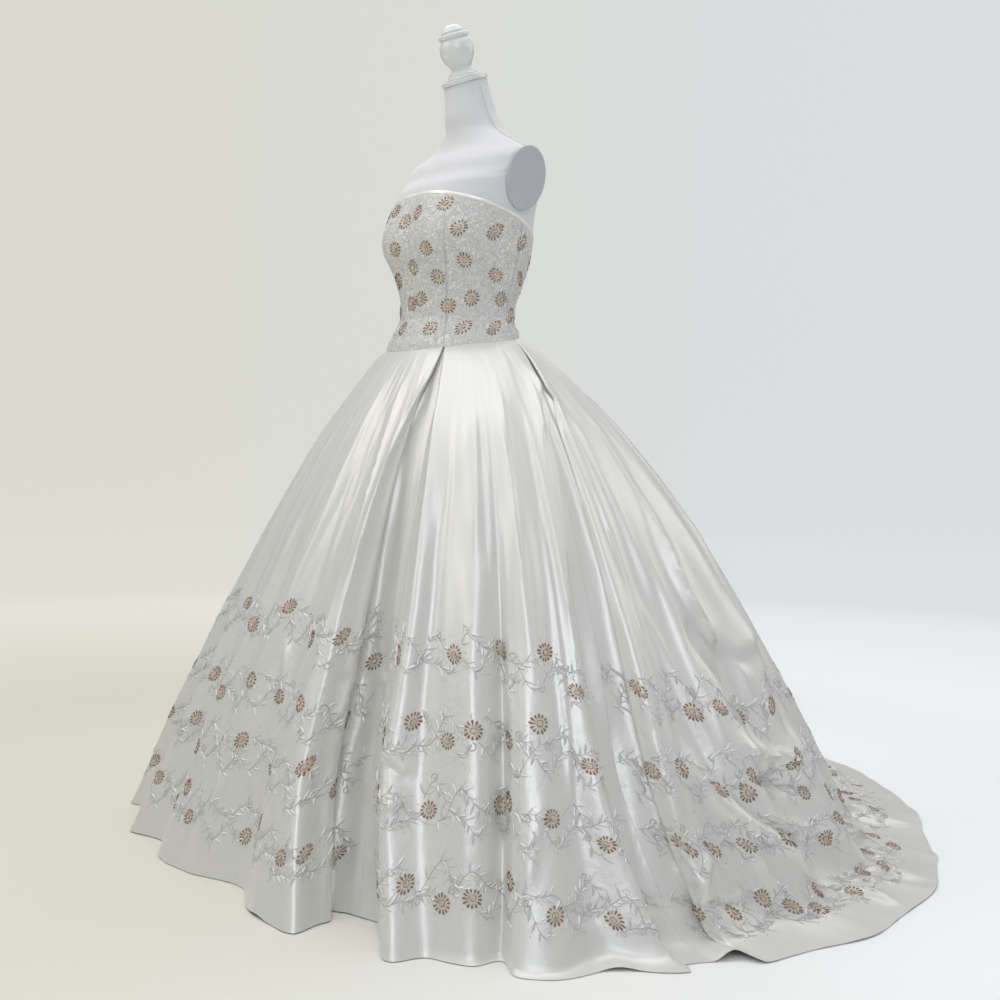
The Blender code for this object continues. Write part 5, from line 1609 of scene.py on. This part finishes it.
draw = np.random.default_rng(7)
bands = [dress_band(panel_name, band, draw) for panel_name in PANEL_NAMES for band in range(len(BAND_HEIGHTS))]
stems, leaves, beads, curls = ([place for found in kind for place in found] for kind in zip(*bands))
wreath_leaves, wreath_beads = ([place for found in kind for place in found]
                               for kind in zip(*(wreath(*flower, draw) for flower in flowers)))
all_leaves = np.concatenate([keep_clear(leaves), np.array(wreath_leaves)])
all_beads = np.concatenate([keep_clear(beads), np.array(wreath_beads)])
print("leaves", len(all_leaves), "beads", len(all_beads), "curls", len(curls), "stems", len(stems))

# Motif and thread of each kind of work that stands on points
POINT_WORK = {
    "flower_bars": ("bars", copper_thread), "flower_grounds": ("ground", pale_thread),
    "flower_hearts": ("heart", rose_thread), "leaves": ("leaf", silver_thread),
    "beads": ("bead", bead_finish), "curls": ("curl", grey_thread),
}
WORK_LIFT = 0.1 * MM
SKIRT_BEAD_LIFT = 0.2 * MM
STEM_LIFT = 0.3 * MM


def embroider(area, cloth, kind, places, lift=WORK_LIFT):
    """Lay one kind of motif on a cloth, at places on its flat cut."""
    shape, thread = POINT_WORK[kind]
    return run_tree(area + "_" + kind, point_layout(places), motif_tree,
                    {"Cloth": cloth, "Motif": motifs[shape], "Lift": lift, "Thread": thread})


def embroider_flowers(area, cloth, places):
    return [embroider(area, cloth, kind, places) for kind in ("flower_bars", "flower_grounds", "flower_hearts")]


skirt_work = [
    *embroider_flowers("skirt", skirt_cloth, flowers),
    embroider("skirt", skirt_cloth, "leaves", all_leaves),
    embroider("skirt", skirt_cloth, "beads", all_beads, SKIRT_BEAD_LIFT),
    embroider("skirt", skirt_cloth, "curls", keep_clear(curls)),
    run_tree("skirt_stems", line_layout(stems), cord_tree,
             {"Cloth": skirt_cloth, "Radius": STEM_RADIUS, "Lift": STEM_LIFT, "Thread": grey_thread}),
]

# %% [markdown]
# ## Bodice embroidery
# On the bodice the flowers stand in rough rows on a ground that leaves and beads cover all over.
# It uses the same motifs and trees, on a flat cut of the whole bodice.

# %% Bodice flowers, leaves and beads
# Angle in degrees and metres above the waist
BODICE_FLOWERS = (
    (-27, 0.312), (-7, 0.279), (12, 0.295), (42, 0.306), (54, 0.248), (80, 0.231), (107, 0.205), (-16, 0.224),
    (26, 0.216), (58, 0.181), (4, 0.181), (35, 0.154), (85, 0.143), (-28, 0.160), (66, 0.101), (-5, 0.106),
    (11, 0.114), (116, 0.130), (-14, 0.052), (28, 0.045), (58, 0.040), (85, 0.031), (112, 0.052), (44, 0.092),
    (95, 0.090), (135, 0.165), (150, 0.105), (165, 0.165), (138, 0.045), (162, 0.042), (174, 0.105),
)
BODICE_FLOWER_SIZE = 0.93
MIRROR_FROM = 30
BODICE_LEAVES = 2100
BODICE_BEADS = 3000
SCATTER_CLEAR = 18.0 * MM
SEAM_CLEAR = 17.0 * MM
STITCHING_RADIUS = 0.9 * MM
STITCHING_LIFT = 0.2 * MM


def bodice_pattern():
    """The whole bodice as one net, with its flat cut."""
    points, normals = bodice_net(-179.8, 179.8)
    across, up = flat_cut(points)
    return points + normals * BODICE_WALL / 2, normals, (across + 2.0, up)


bodice_part = bodice_pattern()
bodice_cloth = pattern_cloth("bodice_pattern", [bodice_part])
flat_across, flat_up = bodice_part[2]
middle_row = bodice_part[0][:, BODICE_ROWS // 2 - 2]
bodice_angles = np.degrees(np.arctan2(middle_row[:, 0], -middle_row[:, 1]))


def bodice_column(angle):
    """Column of the bodice's net that lies nearest to an angle."""
    return int(np.argmin(np.abs(bodice_angles - angle)))


def on_bodice(angle, above):
    """Place on the bodice's flat cut of an angle and a height above the waist."""
    column_index = bodice_column(angle)
    row = int(np.argmin(np.abs(flat_up[column_index] - above)))
    return flat_across[column_index, row], above


bodice_flowers = []
for index, (angle, above) in enumerate(BODICE_FLOWERS):
    for turned in ((angle,) if abs(angle) < MIRROR_FROM else (angle, -angle)):
        shift = 0.0 if turned == angle else 0.006 * math.sin(4.0 * index)
        bodice_flowers.append((*on_bodice(turned, above + shift), 0.8 * index, BODICE_FLOWER_SIZE))
bodice_flowers = np.array(bodice_flowers)


def scatter_on_bodice(count, low_size, high_size, seed):
    """Places all over the bodice's flat cut, clear of its flowers."""
    chance = np.random.default_rng(seed)
    columns = chance.integers(2, flat_across.shape[0] - 3, count)
    rows = chance.integers(1, flat_across.shape[1] - 2, count)
    places = np.stack([flat_across[columns, rows] + chance.uniform(-2, 2, count) * MM, flat_up[columns, rows],
                       chance.uniform(0, 2 * math.pi, count), chance.uniform(low_size, high_size, count)], -1)
    top = flat_up[columns, 0] - 0.007
    inside = (places[:, 1] > 0.006) & (places[:, 1] < top)
    places = places[inside]
    return places[clear_of(places, bodice_flowers, SCATTER_CLEAR)]


seam_lines = []
for seam in (PRINCESS_SEAM, SIDE_SEAM, BACK_SEAM):
    for turned in (seam, -seam):
        column_index = bodice_column(turned)
        line = np.stack([flat_across[column_index], flat_up[column_index]], -1)[1:-1]
        seam_lines.append([tuple(point) for point in line[clear_of(line, bodice_flowers, SEAM_CLEAR)]])

bodice_work = [
    *embroider_flowers("bodice", bodice_cloth, bodice_flowers),
    run_tree("bodice_seam_stitching", line_layout(seam_lines), cord_tree,
             {"Cloth": bodice_cloth, "Radius": STITCHING_RADIUS, "Lift": STITCHING_LIFT, "Thread": silver_thread}),
    embroider("bodice", bodice_cloth, "leaves", scatter_on_bodice(BODICE_LEAVES, 0.45, 0.75, 5)),
    embroider("bodice", bodice_cloth, "beads", scatter_on_bodice(BODICE_BEADS, 0.7, 1.2, 6)),
]
for item in (*motifs.values(), skirt_cloth, bodice_cloth):
    bpy.data.objects.remove(item)

# %% [markdown]
# ## The dress form
# The form is a padded body under white jersey, cut off at the arms, with grey plates there. The
# neck leans forward to a white turned plate and a turned finial. The jersey is lofted through the
# same rings as the solid, with many more points between them.

# %% Form sizes
# Height, half width, front depth, back depth, centre toward the back, tilt in degrees
FORM_LOWER_SECTIONS = (
    (0.800, 0.150, 0.110, 0.110, 0.000, 0.0),
    (0.820, 0.161, 0.120, 0.122, 0.000, 0.0),
    (0.880, 0.168, 0.124, 0.132, 0.002, 0.0),
    (0.950, 0.164, 0.122, 0.130, 0.000, 0.0),
    (1.000, 0.155, 0.118, 0.121, -0.006, 0.0),
)
FORM_UPPER_SECTIONS = (
    (1.400, 0.190, 0.112, 0.106, 0.035, 0.0),
    (1.425, 0.190, 0.105, 0.098, 0.040, 0.0),
    (1.445, 0.178, 0.088, 0.088, 0.043, 0.0),
    (1.458, 0.155, 0.072, 0.080, 0.046, 0.0),
    (1.470, 0.134, 0.064, 0.072, 0.047, 0.0),
    (1.482, 0.109, 0.060, 0.068, 0.047, 0.0),
    (1.494, 0.089, 0.057, 0.064, 0.045, 1.5),
    (1.510, 0.070, 0.056, 0.060, 0.043, 4.0),
    (1.540, 0.058, 0.055, 0.056, 0.033, 9.0),
    (1.575, 0.0515, 0.050, 0.050, 0.025, 14.5),
)
FORM_CLEARANCE = 1.3 * MM
BUST_EASE = 0.07
FORM_HIP_SETBACK = 8.5 * MM
HIP_SETBACK_TOP = 1.095
HIP_SETBACK_BOTTOM = 1.062
FORM_RINGS_IN_BODICE = (1.03, 1.055, 1.075, 1.09, 1.105, 1.12, 1.14, 1.165, 1.19, 1.215, 1.24, 1.26, 1.28, 1.30,
                        1.325, 1.35, 1.375)
SHOULDER_PLATE_CENTRE = (0.174, 0.041, 1.386)
SHOULDER_PLATE_TILT = 3.5
SHOULDER_PLATE_HALF_WIDTH = 0.050
SHOULDER_PLATE_HALF_HEIGHT = 0.068
SHOULDER_PLATE_LEAN = 17.0
SHOULDER_PLATE_THICKNESS = 4.0 * MM
NECK_PLATE_CENTRE = (0.0, 0.0155, 1.614)
NECK_PLATE_TILT = 19.6
NECK_PLATE_RADIUS = 0.051
NECK_PLATE_THICKNESS = 9.0 * MM
NECK_TOP_RADIUS = 0.047
# Radius, height above the neck plate
FINIAL_OUTLINE = (
    (0.0375, 0.0000), (0.0375, 0.0032), (0.0340, 0.0054), (0.0335, 0.0086), (0.0300, 0.0109), (0.0285, 0.0145),
    (0.0235, 0.0181), (0.0218, 0.0222), (0.0250, 0.0281), (0.0312, 0.0380), (0.0358, 0.0498), (0.0374, 0.0602),
    (0.0358, 0.0706), (0.0315, 0.0792), (0.0292, 0.0824), (0.0322, 0.0851), (0.0330, 0.0891), (0.0310, 0.0932),
    (0.0240, 0.0946), (0.0243, 0.0982), (0.0215, 0.1023), (0.0170, 0.1077), (0.0095, 0.1118),
)
FORM_COLUMNS = 128
FORM_FINE_RINGS = 150
SOLID_BODICE_WALL = 2.0 * MM


def shoulder_plane(height):
    """Half width of the form where its arms are cut off, a little narrower below."""
    return SHOULDER_PLATE_CENTRE[0] + math.tan(math.radians(SHOULDER_PLATE_TILT)) * (height - SHOULDER_PLATE_CENTRE[2])


def tilted(point, about, tilt):
    """Local point turned forward by the neck's tilt and moved to its place."""
    lean = math.radians(tilt)
    x, y, z = point
    return (about[0] + x, about[1] + y * math.cos(lean) - z * math.sin(lean),
            about[2] + y * math.sin(lean) + z * math.cos(lean))


def round_about(steps):
    """Angles of the points of a ring."""
    return np.arange(steps) * 2 * math.pi / steps


def form_ring(centre_height, half_width, front, back, centre, tilt):
    """One oval ring of the form."""
    t = round_about(FORM_COLUMNS)
    lean = math.radians(tilt)
    along = -np.cos(t) * np.where(np.cos(t) > 0, front, back)
    return np.stack([half_width * np.sin(t), centre + along * math.cos(lean),
                     centre_height + along * math.sin(lean)], -1)


def form_under_bodice(height):
    """Ring of the form inside the bodice, narrower at the hip where the pleats are sewn in."""
    angles = round_about(FORM_COLUMNS)
    setback = FORM_HIP_SETBACK * smooth_step((HIP_SETBACK_TOP - height) / (HIP_SETBACK_TOP - HIP_SETBACK_BOTTOM))
    setback = setback + BUST_EASE * bust(angles, height)
    heights = np.full(FORM_COLUMNS, height)
    reach = bodice_reach(angles, heights) - SOLID_BODICE_WALL - FORM_CLEARANCE - setback
    side, ahead = direction(angles)
    return np.stack([reach * side, reach * ahead, heights], -1)


def form_rings():
    """The form's rings, with soft curves between them and flat cuts at the arms."""
    rings = [form_ring(*row) for row in FORM_LOWER_SECTIONS]
    rings += [form_under_bodice(height) for height in FORM_RINGS_IN_BODICE]
    rings += [form_ring(*row) for row in FORM_UPPER_SECTIONS]
    top = tilted((0.0, 0.0, -NECK_PLATE_THICKNESS / 2 - SEAM_GAP), NECK_PLATE_CENTRE, NECK_PLATE_TILT)
    rings.append(form_ring(top[2], NECK_TOP_RADIUS, NECK_TOP_RADIUS, NECK_TOP_RADIUS, top[1], NECK_PLATE_TILT))
    rings = np.array(rings)
    step = np.linalg.norm(np.diff(rings, axis=0), axis=2).mean(axis=1)
    knots = np.concatenate([[0.0], np.cumsum(step)])
    at = np.linspace(0.0, knots[-1], FORM_FINE_RINGS)
    fine = np.empty((FORM_FINE_RINGS, FORM_COLUMNS, 3))
    for column_index in range(FORM_COLUMNS):
        for axis in range(3):
            fine[:, column_index, axis] = curve_through(knots, rings[:, column_index, axis], at)
    limit = shoulder_plane(fine[..., 2])
    fine[..., 0] = np.clip(fine[..., 0], -limit, limit)
    return fine


# %% Jersey, paint and metal finishes
def make_jersey():
    finish = Finish("jersey", (0.72, 0.71, 0.70))
    place = finish.place()
    knit = finish.noise(finish.stretch(place, (1400.0, 1400.0, 700.0)), 1.0, 1.0)
    patches = finish.noise(place, 14.0, 3.0)
    colour = finish.mix(patches, (0.66, 0.66, 0.675), (0.735, 0.73, 0.73))
    soft = finish.bump(patches, 1.2 * MM, 0.25)
    return finish.surface(Base_Color=colour, Roughness=knit * 0.1 + 0.78, Sheen_Weight=0.2,
                          Normal=finish.bump(knit, 0.12 * MM, 0.5, soft))


def make_paint(name, light, deep, roughness):
    finish = Finish(name, light)
    place = finish.place()
    peel = finish.noise(place, 420.0, 1.0)
    patches = finish.noise(place, 30.0, 3.0)
    colour = finish.mix(patches, deep, light)
    return finish.surface(Base_Color=colour, Roughness=patches * 0.15 + (roughness - 0.07), Coat_Weight=0.3,
                          Coat_Roughness=0.12, Normal=finish.bump(peel, 0.08 * MM, 0.5))


def make_brushed():
    finish = Finish("brushed_metal", (0.62, 0.62, 0.62))
    grain = finish.noise(finish.stretch(finish.place(), (900.0, 900.0, 12.0)), 1.0, 2.0)
    colour = finish.mix(grain, (0.52, 0.52, 0.53), (0.68, 0.68, 0.68))
    return finish.surface(Base_Color=colour, Roughness=grain * 0.2 + 0.25, Metallic=1.0,
                          Normal=finish.bump(grain, 0.05 * MM, 0.5))


jersey = make_jersey()
white_paint = make_paint("white_paint", (0.74, 0.75, 0.735), (0.68, 0.69, 0.675), 0.26)
base_paint = make_paint("base_paint", (0.72, 0.72, 0.71), (0.64, 0.64, 0.63), 0.4)
plate_grey = make_paint("plate_grey", (0.50, 0.51, 0.535), (0.44, 0.45, 0.475), 0.6)
brushed = make_brushed()


# %% Jersey body
body_rings = form_rings()
jersey_body = loft("jersey_body", body_rings, jersey)
print("jersey body faces:", len(jersey_body.data.polygons))

# %% [markdown]
# The jersey is sewn together along the side of the neck and the top of the shoulder. That seam
# shows as a raised cord from the neck plate to the shoulder plate. It follows the body's own side
# column, so it touches all the way, and a small Geometry Nodes tree gives it its thickness.

# %% Seam cords
CORD_RADIUS = 2.0 * MM
SEAM_CORD_FOOT = 1.452
SEAM_CORD_OUT = 0.8 * MM
SEAM_CORD_UP = 0.9 * MM


def make_seam_tree():
    tree, given, result = new_tree("seam_cord", (("Radius", "NodeSocketFloat", CORD_RADIUS),
                                                 ("Thread", "NodeSocketMaterial", None)))
    return paint_and_return(tree, given, result, cord_along(tree, given, 10, caps=True))


seam_tree = make_seam_tree()
seam_cords = []
for side_name, column_index, sign in (("left", FORM_COLUMNS // 4, 1.0), ("right", 3 * FORM_COLUMNS // 4, -1.0)):
    shown = [point for point in body_rings[:, column_index] if point[2] > SEAM_CORD_FOOT]
    lifted = [(x + sign * SEAM_CORD_OUT, y, z + SEAM_CORD_UP) for x, y, z in shown[:-2]]
    seam_cords.append(run_tree("form_seam_" + side_name, line_layout([lifted]), seam_tree,
                               {"Radius": CORD_RADIUS, "Thread": jersey}))


# %% [markdown]
# The arm plates are flat ovals with a rolled edge. The neck plate and finial are turned: an
# outline is swept round the leaning neck axis.

# %% Plates and finial
TURNED_STEPS = 96
PLATE_EDGE_ROUNDING = 1.0 * MM
FINIAL_STEPS = 150
FINIAL_TIP = (0.0030, 0.5 * MM)
# Share of the arm plate's size and of its thickness, from its foot over the rolled edge to its middle
ARM_PLATE_OUTLINE = ((1.0, 0.0), (1.0, 0.45), (0.992, 0.75), (0.972, 0.95), (0.945, 1.0), (0.90, 0.97), (0.87, 0.88),
                     (0.5, 0.84), (0.02, 0.84))


def arm_plate(name, sign):
    rings = []
    lean = math.radians(SHOULDER_PLATE_LEAN)
    t = round_about(TURNED_STEPS)
    for inset, depth in ARM_PLATE_OUTLINE:
        y = SHOULDER_PLATE_HALF_WIDTH * inset * np.cos(t)
        z = SHOULDER_PLATE_HALF_HEIGHT * inset * np.sin(t)
        height = SHOULDER_PLATE_CENTRE[2] - y * math.sin(lean) + z * math.cos(lean)
        x = sign * (shoulder_plane(height) + SEAM_GAP + depth * SHOULDER_PLATE_THICKNESS)
        ring = np.stack([x, SHOULDER_PLATE_CENTRE[1] + y * math.cos(lean) + z * math.sin(lean), height], -1)
        rings.append(ring if sign > 0 else ring[::-1])
    return loft(name, rings, plate_grey)


def turned(name, outline, lift, finish):
    """Outline of radius and height swept round the leaning neck axis."""
    rings = [[tilted((radius * math.sin(a), -radius * math.cos(a), height + lift), NECK_PLATE_CENTRE, NECK_PLATE_TILT)
              for a in round_about(TURNED_STEPS)] for radius, height in outline]
    return loft(name, rings, finish, math.radians(32))


half_plate = NECK_PLATE_THICKNESS / 2
plate_outline = ((0.0460, -half_plate), (0.0500, -half_plate), (0.0509, -half_plate + 0.4 * MM),
                 (NECK_PLATE_RADIUS, -half_plate + PLATE_EDGE_ROUNDING),
                 (NECK_PLATE_RADIUS, half_plate - PLATE_EDGE_ROUNDING),
                 (0.0508, half_plate - 0.4 * MM), (0.0502, half_plate), (0.0300, half_plate))
knots = np.concatenate([[0.0], np.cumsum([math.dist(a, b) for a, b in zip(FINIAL_OUTLINE, FINIAL_OUTLINE[1:])])])
fine = np.linspace(0.0, knots[-1], FINIAL_STEPS)
finial_outline = list(zip(*(curve_through(knots, column(FINIAL_OUTLINE, index), fine) for index in (0, 1))))
finial_outline.append((FINIAL_TIP[0], finial_outline[-1][1] + FINIAL_TIP[1]))
# Piece, the solid that it stands for, finish of the record
FORM_PIECES = (
    (jersey_body, "form_torso", "white_jersey"),
    (arm_plate("arm_plate_left", 1.0), "form_shoulder_plate_left", "grey_shoulder_plate"),
    (arm_plate("arm_plate_right", -1.0), "form_shoulder_plate_right", "grey_shoulder_plate"),
    (turned("neck_plate_turned", plate_outline, 0.0, white_paint), "form_neck_plate", "white_gloss_paint"),
    (turned("finial_turned", finial_outline, half_plate + SEAM_GAP, white_paint), "form_finial",
     "white_gloss_paint"),
)
for node_name, finish in (("form_pole", brushed), ("form_base", base_paint)):
    for slot in frame["nodes"][node_name].material_slots:
        slot.material = finish

# %% [markdown]
# ## Studio
# The photograph has a plain pale studio, cream on the left and cooler on the right. The gown is
# looked at from all sides, so the studio is round: a floor, and a far wall that curves up from it.
# The wall is only looked at. It stops no light, or the room would be dark inside it.
# The paper carries painted light: warm and darker on the left, cool and brighter on the right, and a painted glow far
# away.

# %% Round studio
FLOOR_RADIUS = 9.0
WALL_CURVE = 2.0
WALL_TOP = 12.0
STUDIO_STEPS = 72


def make_studio_paper():
    finish = Finish("studio_paper", (0.86, 0.86, 0.83))
    place = finish.place()
    right = (math.cos(CAMERA_AZIMUTH), math.sin(CAMERA_AZIMUTH), 0.0)
    sideways = finish.term("ShaderNodeVectorMath", {"operation": "DOT_PRODUCT"}, {0: place, 1: right}, "Value")
    floor_place = finish.stretch(place, (1.0, 1.0, 0.0))
    reach = finish.term("ShaderNodeVectorMath", {"operation": "LENGTH"}, {0: floor_place}, "Value")
    aside = sideways.sum_with("DIVIDE", sideways, reach + 1.2)
    # Painted light: the paper's colour is warm and darker toward the camera's left and cool and brighter toward its
    # right, painted as the light falls.
    painted_light_side = aside.above(0.05, 0.42)
    # Masks for the painted glow far away: there the paper's own colour goes black and it glows.
    far = reach.above(3.5, 1.5)
    painted_glow_share = reach.above(3.1, 1.5)
    near_painted_light_colour = finish.mix(painted_light_side, (0.74, 0.725, 0.615), (0.93, 0.945, 0.955))
    # Painted light: far from the lamps the paper is made black and glows a little by itself, warm on the left and cool
    # on the right.
    painted_glow = finish.mix(painted_light_side, (0.69, 0.685, 0.61), (0.675, 0.705, 0.73))
    paper = finish.noise(place, 40.0, 3.0)
    finish.surface(Emission_Strength=1.0)
    return finish.surface(Base_Color=finish.mix(far, near_painted_light_colour, (0.02, 0.02, 0.02)),
                          Emission_Color=finish.mix(painted_glow_share, (0.0, 0.0, 0.0), painted_glow), Roughness=paper * 0.05 + 0.8,
                          Normal=finish.bump(paper, 0.2 * MM, 0.2))


def revolve_studio(name, profile, finish):
    """Profile of radius and height swept round the gown, facing in and up."""
    turns = np.linspace(0.0, 2 * math.pi, STUDIO_STEPS + 1)
    points = np.array([[(radius * math.cos(t), radius * math.sin(t), height) for radius, height in profile]
                       for t in turns])
    return new_piece(name, points.reshape(-1, 3), grid_faces(len(turns), len(profile)), finish)


studio_paper = make_studio_paper()
studio_floor = revolve_studio("studio_floor", [(r, 0.0) for r in np.linspace(0.01, FLOOR_RADIUS, 12)], studio_paper)
wall_curve = [(FLOOR_RADIUS + WALL_CURVE * math.sin(t), WALL_CURVE * (1 - math.cos(t)))
              for t in np.linspace(0.0, math.pi / 2, 16)]
studio_wall = revolve_studio("studio_wall", [*wall_curve, (FLOOR_RADIUS + WALL_CURVE, WALL_TOP)], studio_paper)
studio_wall.visible_diffuse = False
studio_wall.visible_glossy = False
studio_wall.visible_shadow = False
print("studio floor faces up:", studio_floor.data.polygons[20].normal.z > 0.9)

# %% [markdown]
# The satin needs something to reflect, so the lights are large squares: a cool window toward the
# camera, a warm lamp at its left, a wide one overhead, a small warm one at its right, and one
# behind the gown. The camera doesn't see them.

# %% Lights
# Right of the gown, toward the camera, height, size, power, colour
LIGHTS = (
    ("window", -0.2, 3.4, 2.8, 1.8, 31.0, (0.84, 0.90, 1.0)),
    ("left", -2.6, 0.5, 2.9, 1.8, 17.0, (1.0, 0.965, 0.90)),
    ("top", -0.2, -0.2, 3.9, 3.6, 60.0, (0.99, 0.985, 1.0)),
    ("right", 2.7, -0.6, 2.4, 1.6, 10.0, (1.0, 0.975, 0.95)),
    ("back", 0.4, -3.2, 2.8, 2.4, 12.0, (1.0, 0.99, 0.97)),
)
TARGET = Vector((0.1, 0.1, 0.75))
for label, right, toward, height, size, power, colour in LIGHTS:
    light_data = bpy.data.lights.new(label, "AREA")
    light_data.shape = "SQUARE"
    light_data.size = size
    light_data.energy = power
    light_data.color = colour
    light = link_object(label, light_data)
    light.visible_camera = False
    light.location = (right * math.cos(CAMERA_AZIMUTH) + toward * math.sin(CAMERA_AZIMUTH),
                      right * math.sin(CAMERA_AZIMUTH) - toward * math.cos(CAMERA_AZIMUTH), height)
    light.rotation_euler = (TARGET - light.location).to_track_quat("-Z", "Y").to_euler()

ROOM_STRENGTH = 0.53
world = bpy.data.worlds.new("room")
world.use_nodes = True
background = next(node for node in world.node_tree.nodes if node.type == "BACKGROUND")
towards = add_node(world.node_tree, "ShaderNodeTexCoord")
parts = add_node(world.node_tree, "ShaderNodeSeparateXYZ", {}, {0: towards.outputs["Generated"]})
height = Term(world.node_tree, parts.outputs[2]) * 0.5 + 0.5
room = add_node(world.node_tree, "ShaderNodeValToRGB", {"stops": (
    (0.0, (0.30, 0.30, 0.29)), (0.48, (0.36, 0.36, 0.36)), (0.62, (0.70, 0.72, 0.74)), (1.0, (1.0, 1.0, 1.0)))},
    {0: height})
world.node_tree.links.new(room.outputs[0], background.inputs["Color"])
background.inputs["Strength"].default_value = ROOM_STRENGTH
bpy.context.scene.world = world
bpy.context.scene.view_settings.view_transform = "Standard"

# %% [markdown]
# Every piece is attached to the one body, and the solid that it stands for is hidden. For cloth
# the size it was cut to is printed. The cut's area is the area of its flat panel.

# %% Attach cloth and hide its solids
def cut_size(across, up):
    """Width, length and area of a panel's flat cut."""
    widths = np.ptp(across, axis=0)
    lengths = up.mean(axis=0)
    area = float(np.sum((widths[:-1] + widths[1:]) / 2 * -np.diff(lengths)))
    return float(widths.max()), float(up.max()), area


# Panels, finish of the record, how the cloth is held, what it rests on
CLOTH = (
    (skirt_panels, "ivory_satin", "hung", ["net_bodice_front", "net_bodice_back_left", "net_bodice_back_right"]),
    (bodice_panels, "embroidered_net", "stretched", ["jersey_body"]),
)


def declare(piece, slot_name, stands_for=None):
    """Every piece rides the one body; most stand for one solid."""
    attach(piece, "root")
    if stands_for is not None:
        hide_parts(stands_for)


for panels, slot_name, held, support in CLOTH:
    for panel_name, (piece, across, up) in panels.items():
        width, length, area = cut_size(across, up)
        declare(piece, slot_name, panel_name)
        print("%-22s cut %.2f x %.2f m, %.2f square metres" % (panel_name, width, length, area))
declare(binding_strip, "satin_binding", "neckline_binding")

# %% Attach embroidery and form
for pieces, slot_name in ((skirt_work, "ivory_satin"), (bodice_work, "embroidered_net")):
    for piece in pieces:
        declare(piece, slot_name)
for piece, node_name, slot_name in FORM_PIECES:
    declare(piece, slot_name, node_name)
for piece in seam_cords:
    declare(piece, "white_jersey")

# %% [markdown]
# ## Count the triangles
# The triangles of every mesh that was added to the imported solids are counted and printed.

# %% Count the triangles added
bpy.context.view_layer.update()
triangles = sum(len(polygon.vertices) - 2 for item in bpy.data.objects if item.type == "MESH"
                and item.name not in frame["nodes"] for polygon in item.data.polygons)
print("triangles added:", triangles)
